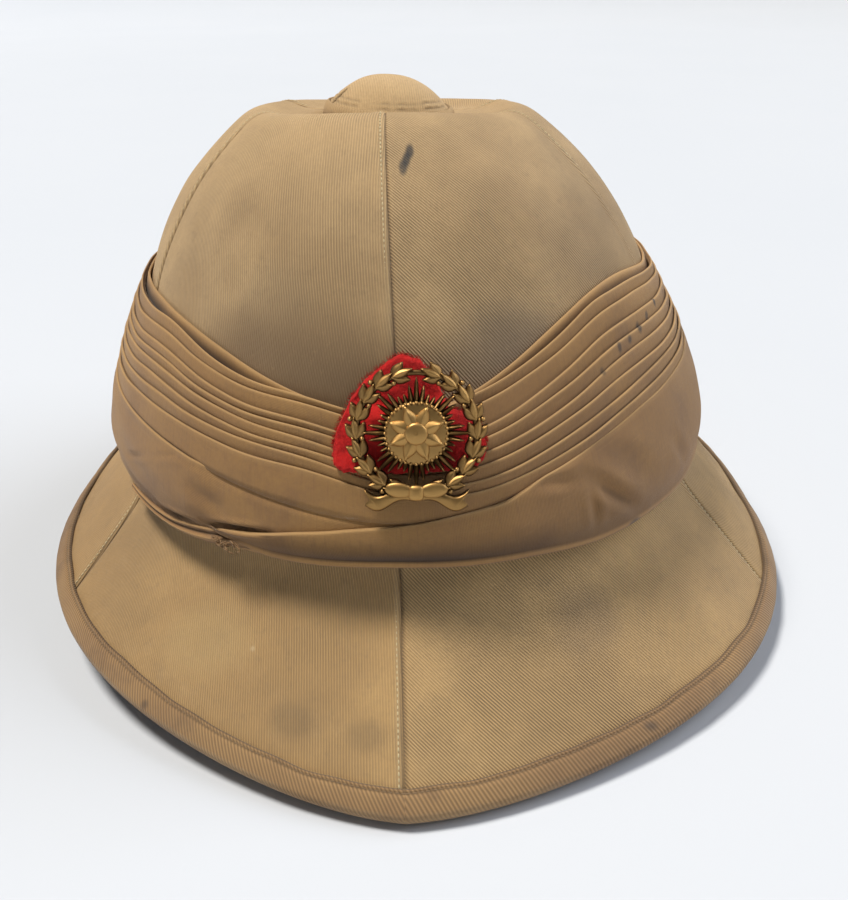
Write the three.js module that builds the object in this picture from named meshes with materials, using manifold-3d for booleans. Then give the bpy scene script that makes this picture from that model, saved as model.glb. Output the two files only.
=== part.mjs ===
// A pith helmet: a cork shell under six cloth panels, a bound brim, a pleated puggaree and a badge.
// Millimetres, +Z up, the front towards -Y. The floor is z = 0.
import * as THREE from 'three';
import { mergeVertices } from 'three/addons/utils/BufferGeometryUtils.js';
import Module from 'manifold-3d';

const wasm = await Module();
wasm.setup();

// Sections of the cover's outside, from the vent hole down to the brim's edge. half is the half
// width, front and back the reach from the middle. side_z, front_z and back_z are heights. skew
// lowers the right side and raises the left one, and point is how pointed the front is.
const SECTIONS = [
  { name: 'neck', half: 12.5, front: 12.5, back: 12.5, side_z: 160, front_z: 160, back_z: 159.5 },
  { name: 'dish', half: 33, front: 34, back: 33, side_z: 160, front_z: 162.3, back_z: 157 },
  { name: 'rim', half: 44.6, front: 46, back: 45, side_z: 162, front_z: 166.5, back_z: 158.5 },
  { name: 'shoulder', half: 54.3, front: 60, back: 61, side_z: 156.7, front_z: 159.3, back_z: 154 },
  { name: 'upper', half: 69.7, front: 78, back: 80, side_z: 141.5, front_z: 142, back_z: 140.5 },
  { name: 'mid', half: 83.5, front: 93, back: 96, side_z: 119.5, front_z: 119.5, back_z: 119.5 },
  { name: 'low', half: 91.5, front: 103.5, back: 106.5, side_z: 95.5, front_z: 95.5, back_z: 95.5 },
  { name: 'base', half: 96.5, front: 110, back: 113, side_z: 71.5, front_z: 71.5, back_z: 71.5 },
  { name: 'root', half: 100, front: 114, back: 117, side_z: 53.5, front_z: 53.5, back_z: 53.5 },
  { name: 'flare', half: 106, front: 122.5, back: 127, side_z: 42.5, front_z: 40.5, back_z: 40.5,
    skew: 1, point: 0.3 },
  { name: 'brim', half: 119.5, front: 143.5, back: 154, side_z: 28, front_z: 22.5, back_z: 22.5,
    skew: 2.5, point: 0.7 },
  { name: 'edge', half: 134, front: 164.5, back: 181, side_z: 12.5, front_z: 4.1, back_z: 4.1,
    skew: 4.6, point: 1 },
];
const LEAN = -8.3 / 160; // the crown leans a little to the wearer's right: sideways shift for each mm up
const POINTED_FRONT = 0.055; // share of its radius by which the brim's front corners are pulled in
const LEFT_TUCK = 0.025; // share of its half width by which the brim's left side is narrower
const HEM_LENGTH = 9; // straight last stretch of the brim, which the binding clasps

// How sharply a section changes round the helmet: its corners, its height and its skew
const CORNER_POWER = 1.15;
const HEIGHT_POWER = 2;
const EDGE_HEIGHT_POWER = 3;
const SKEW_POWER = 1.5;

// Walls, from the outside in
const CLOTH = 1.2;
const GAP = 0.3;
const CORK_CROWN = 5.5;
const CORK_BRIM = 3.4;
const THINNING = { row: 7, rows: 3 }; // where the cork thins from the crown's wall to the brim's
const SEAM_GAP = 0.3;
const BINDING_CLOTH = 1;
const BINDING_WIDTH = 7.5;

// Angles run from the front (0) towards the right side (90 degrees)
const STATIONS = 48;
const RIGHT_ANGLE = Math.PI / 2;
const WELD = 1e-3; // points nearer than this are one

const degrees = (value) => (value * Math.PI) / 180;
const mix = (a, b, share) => a + (b - a) * share;
const clamp01 = (value) => Math.min(1, Math.max(0, value));
const smooth = (value) => {
  const share = clamp01(value);
  return share * share * (3 - 2 * share);
};

// A point of one section at one angle
function sectionPoint(section, angle) {
  const across = Math.sin(angle);
  const ahead = Math.cos(angle);
  const atFront = ahead > 0;
  const reach = atFront ? section.front : section.back;
  const endZ = atFront ? section.front_z : section.back_z;
  const point = section.point ?? 0;
  const corner = Math.abs(Math.sin(2 * angle)) ** CORNER_POWER * Math.cos(2 * angle);
  const pull = atFront ? 1 - POINTED_FRONT * point * corner : 1;
  const tuck = 1 + LEFT_TUCK * point * Math.min(0, across);
  const power = section.name === 'edge' ? EDGE_HEIGHT_POWER : HEIGHT_POWER;
  const lower = (section.skew ?? 0) * Math.sign(across) * Math.abs(across) ** SKEW_POWER;
  const z = mix(section.side_z, endZ, Math.abs(ahead) ** power) - lower;
  return new THREE.Vector3(section.half * across * pull * tuck + LEAN * z, -reach * ahead * pull, z);
}

// The cover's outside: row 0 is the neck, the last row the brim's edge
const LAST_ROW = SECTIONS.length - 1;
function bodyPoint(row, angle) {
  const start = Math.min(LAST_ROW - 1, Math.max(0, Math.floor(row)));
  const pick = (index) => sectionPoint(SECTIONS[Math.min(LAST_ROW, Math.max(0, index))], angle);
  const [before, from, to, after] = [start - 1, start, start + 1, start + 2].map(pick);
  const share = row - start;
  const catmull = (axis) => {
    const [p0, p1, p2, p3] = [before[axis], from[axis], to[axis], after[axis]];
    const linear = (p2 - p0) * share;
    const square = (2 * p0 - 5 * p1 + 4 * p2 - p3) * share ** 2;
    const cube = (3 * p1 - p0 - 3 * p2 + p3) * share ** 3;
    return 0.5 * (2 * p1 + linear + square + cube);
  };
  return new THREE.Vector3(catmull('x'), catmull('y'), catmull('z'));
}

const ROW_STEP = 0.02;
const ANGLE_STEP = 0.01;
function bodyNormal(row, angle) {
  const above = bodyPoint(Math.max(0, row - ROW_STEP), angle);
  const below = bodyPoint(Math.min(LAST_ROW, row + ROW_STEP), angle);
  const left = bodyPoint(row, angle - ANGLE_STEP);
  const right = bodyPoint(row, angle + ANGLE_STEP);
  return below.sub(above).cross(right.sub(left)).normalize();
}

// A point at a distance outside the cover (negative is inside)
function offBody(row, angle, distance) {
  return bodyPoint(row, angle).addScaledVector(bodyNormal(row, angle), distance);
}

// The row at which the cover passes a height, below its rim
const RIM_ROW = 2.5;
const HALVINGS = 24;
function rowAtHeight(height, angle) {
  let upper = RIM_ROW;
  let lower = LAST_ROW;
  for (let turn = 0; turn < HALVINGS; turn += 1) {
    const middle = (upper + lower) / 2;
    if (bodyPoint(middle, angle).z > height) upper = middle;
    else lower = middle;
  }
  return (upper + lower) / 2;
}

// Rows that the shell and the panels share, so that their facets stay parallel
const ROWS = [0, 1, 2, 2.5, 3, 4, 5, 6.5, 8, 8.6, 9.4];
const HEM_ROWS = 0.4; // the stretch of the brim that gives the hem its slope
function hemFrame(angle) {
  const edge = bodyPoint(LAST_ROW, angle);
  const out = edge.clone().sub(bodyPoint(LAST_ROW - HEM_ROWS, angle)).normalize();
  const up = bodyNormal(LAST_ROW - HEM_ROWS / 2, angle);
  up.addScaledVector(out, -up.dot(out)).normalize();
  return { edge, out, up };
}
function coverLine(angle, distance) {
  const line = ROWS.map((row) => offBody(row, angle, distance));
  const { edge, out, up } = hemFrame(angle);
  for (const inboard of [HEM_LENGTH, 0]) {
    line.push(edge.clone().addScaledVector(out, -inboard).addScaledVector(up, distance));
  }
  return line;
}

// Solids: a wall is a row of stations, each with an outer and an inner line of points
function solidFrom(positions, triangles) {
  const geometry = new THREE.BufferGeometry();
  const flat = positions.flatMap((point) => [point.x, point.y, point.z]);
  geometry.setAttribute('position', new THREE.Float32BufferAttribute(flat, 3));
  let volume = 0;
  for (const [a, b, c] of triangles) {
    const cross = positions[b].clone().cross(positions[c]);
    volume += positions[a].dot(cross);
  }
  const facing = volume < 0 ? triangles.map(([a, b, c]) => [a, c, b]) : triangles;
  geometry.setIndex(facing.flat());
  return geometry;
}

function wallSolid(stations, closedRing) {
  const count = stations.length;
  const length = stations[0].outer.length;
  const positions = stations.flatMap((station) => [...station.outer, ...station.inner]);
  const outer = (station, index) => (station % count) * 2 * length + index;
  const inner = (station, index) => outer(station, index) + length;
  const triangles = [];
  const quad = (a, b, c, d) => triangles.push([a, b, c], [a, c, d]);
  const spans = closedRing ? count : count - 1;
  for (let station = 0; station < spans; station += 1) {
    const next = station + 1;
    for (let index = 0; index < length - 1; index += 1) {
      const after = index + 1;
      quad(outer(station, index), outer(next, index), outer(next, after), outer(station, after));
      quad(inner(station, index), inner(station, after), inner(next, after), inner(next, index));
    }
    const last = length - 1;
    quad(inner(station, 0), inner(next, 0), outer(next, 0), outer(station, 0));
    quad(outer(station, last), outer(next, last), inner(next, last), inner(station, last));
  }
  if (!closedRing) {
    const end = count - 1;
    for (let index = 0; index < length - 1; index += 1) {
      const after = index + 1;
      quad(outer(0, index), outer(0, after), inner(0, after), inner(0, index));
      quad(outer(end, index), inner(end, index), inner(end, after), outer(end, after));
    }
  }
  return solidFrom(positions, triangles);
}

// A ring of closed sections, the same number of points in each
function ringSolid(sections) {
  const count = sections.length;
  const length = sections[0].length;
  const triangles = [];
  for (let station = 0; station < count; station += 1) {
    const here = station * length;
    const next = ((station + 1) % count) * length;
    for (let index = 0; index < length; index += 1) {
      const after = (index + 1) % length;
      triangles.push([here + index, next + index, next + after], [here + index, next + after, here + after]);
    }
  }
  return solidFrom(sections.flat(), triangles);
}

const ringAngles = Array.from({ length: STATIONS }, (_, index) => (index / STATIONS) * 2 * Math.PI);

// Materials
const finish = (color, roughness, metalness = 0) =>
  new THREE.MeshStandardMaterial({ color, roughness, metalness });
const TWILL = finish(0x9a8462, 0.95);
const CORK = finish(0xa88a60, 0.9);
const BINDING = finish(0x8f7048, 0.95);
const PUGGAREE = finish(0x94744e, 0.92);
const FELT = finish(0xb3141c, 1);
const BRASS = finish(0x9a7c3c, 0.4, 1);

const helmet = new THREE.Group();
function addPiece(name, geometry, material) {
  const mesh = new THREE.Mesh(geometry, material);
  mesh.name = name;
  helmet.add(mesh);
}

// The cork shell
const SHELL_OUT = -(CLOTH + GAP);
function shellStation(angle) {
  const outer = coverLine(angle, SHELL_OUT);
  const inner = ROWS.map((row) => {
    const thickness = mix(CORK_CROWN, CORK_BRIM, smooth((row - THINNING.row) / THINNING.rows));
    return offBody(row, angle, SHELL_OUT - thickness);
  });
  const { edge, out, up } = hemFrame(angle);
  for (const inboard of [HEM_LENGTH, 0]) {
    const lift = SHELL_OUT - CORK_BRIM;
    inner.push(edge.clone().addScaledVector(out, -inboard).addScaledVector(up, lift));
  }
  return { outer, inner };
}
addPiece('cork_shell', wallSolid(ringAngles.map(shellStation), true), CORK);

// The six cover panels from the front seam towards the right, with a fine gap at each seam
const COVER_PANELS = [
  { name: 'front_right', from: 0, to: 9 },
  { name: 'side_right', from: 9, to: 16 },
  { name: 'back_right', from: 16, to: 24 },
  { name: 'back_left', from: 24, to: 32 },
  { name: 'side_left', from: 32, to: 40 },
  { name: 'front_left', from: 40, to: 48 },
];
function panelSolid({ from, to }) {
  const stations = [];
  for (let station = from; station <= to; station += 1) {
    const angle = ringAngles[1] * station;
    const shift = station === from ? SEAM_GAP / 2 : station === to ? -SEAM_GAP / 2 : 0;
    const along = (point) => {
      const sideways = new THREE.Vector3(Math.cos(angle), Math.sin(angle), 0);
      return point.addScaledVector(sideways, shift);
    };
    stations.push({
      outer: coverLine(angle, 0).map(along),
      inner: coverLine(angle, -CLOTH).map(along),
    });
  }
  return wallSolid(stations, false);
}
COVER_PANELS.forEach((panel) => addPiece(`cover_panel_${panel.name}`, panelSolid(panel), TWILL));

// The binding: a folded strip over the brim's edge, flattened where the helmet rests
function bindingSection(angle) {
  const { edge, out, up } = hemFrame(angle);
  const under = -(CLOTH + GAP + CORK_BRIM);
  const at = (distance, lift) => {
    const point = edge.clone().addScaledVector(out, distance).addScaledVector(up, lift);
    point.z = Math.max(0, point.z);
    return point;
  };
  const outside = GAP + BINDING_CLOTH;
  const chamfer = BINDING_CLOTH;
  return [
    at(-BINDING_WIDTH, outside), at(outside - chamfer, outside), at(outside, outside - chamfer),
    at(outside, under - outside + chamfer), at(outside - chamfer, under - outside),
    at(-BINDING_WIDTH, under - outside), at(-BINDING_WIDTH, under - GAP),
    at(GAP, under - GAP), at(GAP, GAP), at(-BINDING_WIDTH, GAP),
  ];
}
addPiece('brim_binding', ringSolid(ringAngles.map(bindingSection)), BINDING);

// The puggaree's heights at one angle: its top edge, the last pleat's lower edge and its bottom
const BAND = {
  top: { front: 93, left: 110.5, right: 112, back: 96, right_hump: 7 },
  pleats_end: { front: 67.5, left: 78, right: 85.5, back: 70 },
  bottom: { front: 53, left: 48.5, right: 48.5, back: 50.5 },
};
const RISE = 1.1; // how soon the cloth rises from its dips at the front and the back
function bandHeight(name, angle) {
  const { front, left, right, back, right_hump: hump = 0 } = BAND[name];
  const across = Math.sin(angle);
  const middle = Math.cos(angle) > 0 ? front : back;
  const side = mix(middle, across > 0 ? right : left, smooth(RISE * Math.abs(across)));
  const atRightFront = across > 0 && Math.cos(angle) > 0;
  return side + (atRightFront ? hump * Math.sin(2 * angle) ** 2 : 0);
}
function bandRow(share, angle) {
  return rowAtHeight(mix(bandHeight('top', angle), bandHeight('bottom', angle), share), angle);
}

// How far the wound cloth stands out from the cover, from its top (0) to its bottom (1)
const BULGE = [
  { share: 0, stand: 2.9 }, { share: 0.15, stand: 4.8 }, { share: 0.35, stand: 7.6 },
  { share: 0.6, stand: 10.3 }, { share: 0.8, stand: 11 }, { share: 0.93, stand: 10.2 },
  { share: 1, stand: 8 },
];
function bulge(share) {
  const next = Math.max(1, BULGE.findIndex((entry) => entry.share >= share));
  const [a, b] = [BULGE[next - 1], BULGE[next]];
  return mix(a.stand, b.stand, (share - a.share) / (b.share - a.share));
}
const bandPoint = (share, angle, stand) => offBody(bandRow(share, angle), angle, stand);
const shareOfPleats = (angle) => {
  const top = bandHeight('top', angle);
  return (top - bandHeight('pleats_end', angle)) / (top - bandHeight('bottom', angle));
};

// The inner turn, whose straight edge shows above the pleats
const CLEAR = 0.4; // between the cover and the wound cloth
const INNER_TURN = 0.9;
const INNER_PEEK = 0.03;
const INNER_TUCK = 0.14;
function innerTurnSection(angle) {
  const at = (share, stand) => bandPoint(share, angle, stand);
  const outside = CLEAR + INNER_TURN;
  return [at(-INNER_PEEK, CLEAR), at(-INNER_PEEK, outside), at(INNER_TUCK, outside), at(INNER_TUCK, CLEAR)];
}
addPiece('puggaree_inner_fold', ringSolid(ringAngles.map(innerTurnSection)), PUGGAREE);

// The pleats: each one laps over the one above, so their outside is a row of small steps
const PLEAT_EDGES = [0, 0.1, 0.26, 0.36, 0.46, 0.57, 0.68, 0.82];
const PLEAT_LAP = 0.9;
const EDGE_ROUND = 0.012;
const PLEAT_BACK = { bottom: 0.985, below: 0.38, above: 0.35 }; // the back steps out over the inner turn
function pleatSection(angle) {
  const end = shareOfPleats(angle);
  const at = (share, stand) => bandPoint(share * end, angle, stand);
  const section = [];
  PLEAT_EDGES.forEach((edge, index) => {
    const lower = (PLEAT_EDGES[index + 1] ?? PLEAT_BACK.bottom) - EDGE_ROUND;
    const lap = index === PLEAT_EDGES.length - 1 ? 0 : PLEAT_LAP;
    section.push(at(edge, bulge(edge * end)), at(lower, bulge(lower * end) - lap));
  });
  const behindFold = CLEAR + INNER_TURN + 2 * GAP;
  const { bottom, below, above } = PLEAT_BACK;
  section.push(at(bottom, CLEAR), at(below, CLEAR), at(above, behindFold), at(0, behindFold));
  return section;
}
addPiece('puggaree_pleats', ringSolid(ringAngles.map(pleatSection)), PUGGAREE);

// The smooth turn below, let in at the front where the loose end crosses it
const TAIL = {
  left: degrees(-27.6), right: degrees(22.5), fade: degrees(7.5), thickness: 1.2, clear: 0.6,
};
const TAIL_ROOM = TAIL.thickness + TAIL.clear;
const signed = (angle) => (angle > Math.PI ? angle - 2 * Math.PI : angle);
function letIn(angle) {
  const turn = signed(angle);
  const { left, right, fade } = TAIL;
  return TAIL_ROOM * smooth((turn - left + fade) / fade) * smooth((right - turn) / fade);
}
const WRAP_SHARES = [0, 0.06, 0.3, 0.6, 0.9, 1];
const WRAP_TOP = { below_pleats: 0.004, tuck: 1.2 }; // its top edge dips in under the last pleat
function wrapStand(share, angle) {
  return bulge(share) - letIn(angle);
}
function wrapSection(angle) {
  const start = shareOfPleats(angle) + WRAP_TOP.below_pleats;
  const section = WRAP_SHARES.map((step, index) => {
    const share = mix(start, 1, step);
    const tuck = index === 0 ? WRAP_TOP.tuck : 0;
    return bandPoint(share, angle, wrapStand(share, angle) - tuck);
  });
  section.push(bandPoint(1, angle, CLEAR), bandPoint(start, angle, CLEAR));
  return section;
}
addPiece('puggaree_lower_wrap', ringSolid(ringAngles.map(wrapSection)), PUGGAREE);

// The loose end's upper edge, as heights at angles from the front
const TAIL_EDGE = [
  { angle: -27.6, z: 58.6 }, { angle: -22.5, z: 59.5 },
  { angle: -15, z: 62.5 }, { angle: -7.5, z: 64.8 }, { angle: 0, z: 66.3 }, { angle: 7.5, z: 68 },
  { angle: 15, z: 69.8 }, { angle: 22.5, z: 71 },
];
const TAIL_STEPS = [0, 0.3, 0.6, 0.85, 1];
const TAIL_DROP = 0.8; // the loose end hangs a little below the turn that it covers
function tailStation({ angle: turn, z }) {
  const angle = degrees(turn);
  const bottom = bandHeight('bottom', angle);
  const line = (lift) => TAIL_STEPS.map((step) => {
    const height = mix(z, bottom - TAIL_DROP, step);
    const share = (bandHeight('top', angle) - height) / (bandHeight('top', angle) - bottom);
    const stand = wrapStand(Math.min(1, share), angle) + TAIL.clear + lift;
    return offBody(rowAtHeight(height, angle), angle, stand);
  });
  return { outer: line(TAIL.thickness), inner: line(0) };
}
addPiece('puggaree_front_tail', wallSolid(TAIL_EDGE.map(tailStation), false), PUGGAREE);

// Its tucked and frayed end: a narrow flattened twist that runs on along the bottom edge
const TUCK_TURNS = [
  { angle: -28.4, height: 8, thickness: 2.4, rise: 0 },
  { angle: -30, height: 6.4, thickness: 2.2, rise: 0.3 },
  { angle: -37.5, height: 5, thickness: 1.8, rise: 0.8 },
  { angle: -45, height: 4, thickness: 1.4, rise: 1.2 },
  { angle: -51, height: 2.6, thickness: 1, rise: 1.6 },
];
const TUCK = { drop: 2.2, clear: 0.7, hem: 0.35, share: 0.93 };
const TUCK_SIDES = [1, 0.4, -0.4, -1];
function tuckStation({ angle: turn, height: tall, thickness, rise }) {
  const angle = degrees(turn);
  const middle = bandHeight('bottom', angle) + 0.5 * tall - TUCK.drop + rise;
  const line = (lift) => TUCK_SIDES.map((side) => {
    const height = middle + 0.5 * tall * side;
    const crown = Math.abs(side) === 1 ? TUCK.hem : 1;
    const stand = bulge(TUCK.share) + TUCK.clear + lift * crown;
    return offBody(rowAtHeight(height, angle), angle, stand);
  });
  return { outer: line(thickness), inner: line(0) };
}
addPiece('puggaree_tucked_end', wallSolid(TUCK_TURNS.map(tuckStation), false), PUGGAREE);

// The ventilator: a cap with its flared seat, on a tube through the top
const ROUND_SIDES = 20;
const VENT = { z: 163, tilt: degrees(3.5) };
const CAP = { radius: 19.3, rise: 7.6, base: 2, rim: 1.2, wall: 1.6, inner_rise: 6.4, inner_base: 1.6 };
const ventilator = new THREE.Group();
ventilator.position.set(LEAN * VENT.z, 0, VENT.z);
ventilator.rotation.set(RIGHT_ANGLE, 0, 0);
const tilted = new THREE.Group();
tilted.rotation.set(0, 0, -VENT.tilt);
ventilator.add(tilted);
helmet.add(ventilator);
function addTurned(name, profile, material) {
  const corners = profile.map(([radius, height]) => new THREE.Vector2(radius, height));
  if (THREE.ShapeUtils.isClockWise(corners)) corners.reverse();
  const points = [...corners, corners[0]];
  const lathe = new THREE.LatheGeometry(points, ROUND_SIDES);
  lathe.deleteAttribute('normal');
  lathe.deleteAttribute('uv');
  const mesh = new THREE.Mesh(mergeVertices(lathe, WELD), material);
  mesh.name = name;
  tilted.add(mesh);
}
const TUBE = { outer: 11.6, inner: 10, bottom: -7, top: 4.1 };
const SEAT = { inner: 20.6, outer: 21.8, foot: 24.5, lip: 1.1, floor: -0.9, foot_z: -0.4, wall: 1.1 };
addTurned('ventilator_seat', [
  [TUBE.inner, TUBE.bottom], [TUBE.outer, TUBE.bottom], [TUBE.outer, SEAT.floor],
  [SEAT.foot, SEAT.foot_z], [SEAT.outer, SEAT.lip], [SEAT.inner, SEAT.lip],
  [SEAT.inner, SEAT.floor + SEAT.wall], [TUBE.outer, SEAT.floor + SEAT.wall],
  [TUBE.outer, TUBE.top], [TUBE.inner, TUBE.top],
], TWILL);
const CAP_STEPS = 4;
function capLine(radius, rise, base) {
  const sphere = (radius ** 2 + rise ** 2) / (2 * rise);
  return Array.from({ length: CAP_STEPS + 1 }, (_, step) => {
    const r = (radius * step) / CAP_STEPS;
    return [r, base + rise - (sphere - Math.sqrt(sphere ** 2 - r ** 2))];
  });
}
addTurned('ventilator_cap', [
  ...capLine(CAP.radius, CAP.rise, CAP.base),
  [CAP.radius, CAP.base - CAP.rim], [CAP.radius - CAP.wall, CAP.base - CAP.rim],
  ...capLine(CAP.radius - CAP.wall, CAP.inner_rise, CAP.inner_base).reverse(),
], TWILL);

// The badge's place on the front: its middle, leaning back by tilt, curved sideways to the band
const BADGE = { x: 2.5, y: -108, z: 91, tilt: degrees(21), curve: 105, gap: 0.3 };
const badgeOut = new THREE.Vector3(0, -Math.cos(BADGE.tilt), Math.sin(BADGE.tilt));

// The felt backing, laid over the band's top edge and the crown
const FELT_PAD = {
  width: 43, height: 39, x: -1, lift: 1.6, columns: 9, rows: 5, thickness: 1.3, clear: 0.8,
  swing: 86, roundness: 0.8,
};
const FRONT_HALF_WIDTH = 100;
const ABOVE_BAND = 0.12;
function feltStation(column) {
  const swing = degrees(mix(-FELT_PAD.swing, FELT_PAD.swing, column / FELT_PAD.columns));
  const across = 0.5 * FELT_PAD.width * Math.sin(swing);
  const tall = 0.5 * FELT_PAD.height * Math.cos(swing) ** FELT_PAD.roundness;
  const line = (lift) => Array.from({ length: FELT_PAD.rows + 1 }, (_, row) => {
    const up = FELT_PAD.lift + mix(tall, -tall, row / FELT_PAD.rows);
    const height = BADGE.z + up * Math.cos(BADGE.tilt);
    const angle = Math.asin((BADGE.x + FELT_PAD.x + across - LEAN * height) / FRONT_HALF_WIDTH);
    const top = bandHeight('top', angle);
    const share = (top - height) / (top - bandHeight('bottom', angle));
    const over = share < 0 ? mix(CLEAR, bulge(0), smooth(1 + share / ABOVE_BAND)) : bulge(share);
    return offBody(rowAtHeight(height, angle), angle, over + FELT_PAD.clear + lift);
  });
  return { outer: line(FELT_PAD.thickness), inner: line(0) };
}
const feltStations = Array.from({ length: FELT_PAD.columns + 1 }, (_, column) => feltStation(column));
addPiece('badge_backing', wallSolid(feltStations, false), FELT);

// How far in front of its middle the badge has to stand to lie on the felt
const feltFront = feltStations.flatMap((station) => station.outer);
const badgeMiddle = new THREE.Vector3(BADGE.x, BADGE.y, BADGE.z);
const standOfPoint = (point) => {
  const away = point.clone().sub(badgeMiddle);
  return away.dot(badgeOut) + away.x ** 2 / (2 * BADGE.curve);
};
const badgeStand = Math.max(...feltFront.map(standOfPoint)) + BADGE.gap;

// The badge's parts, flat, with x to the right, y up and z outwards
function toManifold(geometry) {
  const bare = geometry.clone();
  bare.deleteAttribute('normal');
  bare.deleteAttribute('uv');
  const merged = mergeVertices(bare, WELD / 10);
  const vertProperties = new Float32Array(merged.attributes.position.array);
  const triVerts = new Uint32Array(merged.index.array);
  return new wasm.Manifold(new wasm.Mesh({ numProp: 3, vertProperties, triVerts }));
}
function toGeometry(manifold) {
  const { vertProperties, triVerts } = manifold.getMesh();
  const geometry = new THREE.BufferGeometry();
  geometry.setAttribute('position', new THREE.BufferAttribute(vertProperties.slice(), 3));
  geometry.setIndex(Array.from(triVerts));
  return geometry;
}

// A leaf or petal with a raised middle rib, from its stalk at x = 0
const LEAF_WIDEST = 0.42;
function leafSolid({ length, width, height }) {
  const widest = LEAF_WIDEST * length;
  const corners = [[0, 0, 0], [widest, -width / 2, 0], [length, 0, 0], [widest, width / 2, 0]];
  const points = [...corners, [widest, 0, height]].map((corner) => new THREE.Vector3(...corner));
  return solidFrom(points, [[0, 2, 1], [0, 3, 2], [0, 1, 4], [1, 2, 4], [2, 3, 4], [3, 0, 4]]);
}
const placed = (geometry, { x = 0, y = 0, z = 0, turn = 0 }) => {
  const frame = new THREE.Matrix4().makeRotationZ(turn).setPosition(x, y, z);
  return geometry.clone().applyMatrix4(frame);
};

const WREATH = {
  radius: 16.3, band: 1.5, depth: 0.9, segments: 12, pairs: 7, start: degrees(-78), end: degrees(62),
};
const LEAF = { length: 6.4, width: 3.4, height: 1.9, splay: degrees(33), sink: 0.25 };
function wreathParts() {
  const ring = new THREE.Shape().absarc(0, 0, WREATH.radius + WREATH.band / 2, 0, 2 * Math.PI);
  ring.holes.push(new THREE.Path().absarc(0, 0, WREATH.radius - WREATH.band / 2, 0, 2 * Math.PI));
  const section = { depth: WREATH.depth, bevelEnabled: false, curveSegments: WREATH.segments };
  const parts = [new THREE.ExtrudeGeometry(ring, section)];
  for (let pair = 0; pair < WREATH.pairs; pair += 1) {
    for (const side of [-1, 1]) {
      const rise = mix(WREATH.start, WREATH.end, pair / (WREATH.pairs - 1));
      const around = side > 0 ? rise : Math.PI - rise;
      const along = around + side * RIGHT_ANGLE;
      const stalk = { x: WREATH.radius * Math.cos(around), y: WREATH.radius * Math.sin(around) };
      for (const splay of [-LEAF.splay, LEAF.splay]) {
        parts.push(placed(leafSolid(LEAF), { ...stalk, z: LEAF.sink, turn: along + splay }));
      }
    }
  }
  return parts;
}

const STAR = { points: 8, tip: 16.2, notch: 6.2, rim: 0.5, top: 2.1 };
function starSolid() {
  const points = [new THREE.Vector3(0, 0, STAR.top), new THREE.Vector3(0, 0, 0)];
  const triangles = [];
  const corners = STAR.points * 2;
  for (let corner = 0; corner < corners; corner += 1) {
    const radius = corner % 2 ? STAR.notch : STAR.tip;
    const around = (corner / corners) * 2 * Math.PI;
    for (const height of [STAR.rim, 0]) {
      points.push(new THREE.Vector3(radius * Math.cos(around), radius * Math.sin(around), height));
    }
    const [high, low] = [2 + 2 * corner, 3 + 2 * corner];
    const [nextHigh, nextLow] = [2 + 2 * ((corner + 1) % corners), 3 + 2 * ((corner + 1) % corners)];
    triangles.push([0, high, nextHigh], [high, low, nextLow], [high, nextLow, nextHigh], [1, nextLow, low]);
  }
  return solidFrom(points, triangles);
}

const ROSETTE = {
  petals: 8, length: 8.2, width: 4.4, height: 1.5, z: 1.1,
  boss: 3.1, boss_foot: 4.2, boss_height: 3.2, boss_lift: 0.2, boss_sides: 12,
};
function rosetteParts() {
  const { boss_foot: foot, boss_height: height, boss_sides: sides } = ROSETTE;
  const boss = new THREE.CylinderGeometry(ROSETTE.boss, foot, height, sides);
  boss.rotateX(RIGHT_ANGLE).translate(0, 0, height / 2 + ROSETTE.boss_lift);
  const petals = Array.from({ length: ROSETTE.petals }, (_, petal) => {
    const turn = ((petal + 0.5) / ROSETTE.petals) * 2 * Math.PI;
    return placed(leafSolid(ROSETTE), { z: ROSETTE.z, turn });
  });
  return [boss, ...petals];
}

// A plain ribbon tied under the wreath: a knot and two notched tails
const RIBBON = { y: -17, knot: 4.4, thickness: 1.3, z: 0.5 };
const TAIL_OUTLINE = [[0, 1.4], [7, -0.6], [14.2, 1.2], [12.2, -1.6], [14, -4], [7, -4.4], [0, -1.6]];
function ribbonParts() {
  const knot = new THREE.BoxGeometry(RIBBON.knot, RIBBON.knot, 2 * RIBBON.thickness);
  const parts = [placed(knot, { y: RIBBON.y, z: RIBBON.thickness })];
  for (const side of [-1, 1]) {
    const outline = new THREE.Shape(TAIL_OUTLINE.map(([x, y]) => new THREE.Vector2(side * x, y)));
    const tail = new THREE.ExtrudeGeometry(outline, { depth: RIBBON.thickness, bevelEnabled: false });
    parts.push(placed(tail, { y: RIBBON.y, z: RIBBON.z }));
  }
  return parts;
}

const badgeParts = [...wreathParts(), starSolid(), ...rosetteParts(), ...ribbonParts()];
const badgeSolid = badgeParts.map(toManifold).reduce((joined, part) => joined.add(part));
const badgeGeometry = toGeometry(badgeSolid);
const badgePoints = badgeGeometry.attributes.position;
for (let index = 0; index < badgePoints.count; index += 1) {
  const around = badgePoints.getX(index) / BADGE.curve;
  const radius = BADGE.curve + badgePoints.getZ(index);
  badgePoints.setX(index, radius * Math.sin(around));
  badgePoints.setZ(index, radius * Math.cos(around) - BADGE.curve);
}
const badge = new THREE.Mesh(badgeGeometry, BRASS);
badge.name = 'badge';
badge.position.copy(badgeMiddle).addScaledVector(badgeOut, badgeStand);
badge.rotation.x = RIGHT_ANGLE - BADGE.tilt;
helmet.add(badge);

// The origin goes to the floor under the middle of the whole helmet
const box = new THREE.Box3().setFromObject(helmet);
const middle = box.getCenter(new THREE.Vector3());
helmet.position.set(-middle.x, -middle.y, -box.min.z);

export default helmet;
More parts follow.
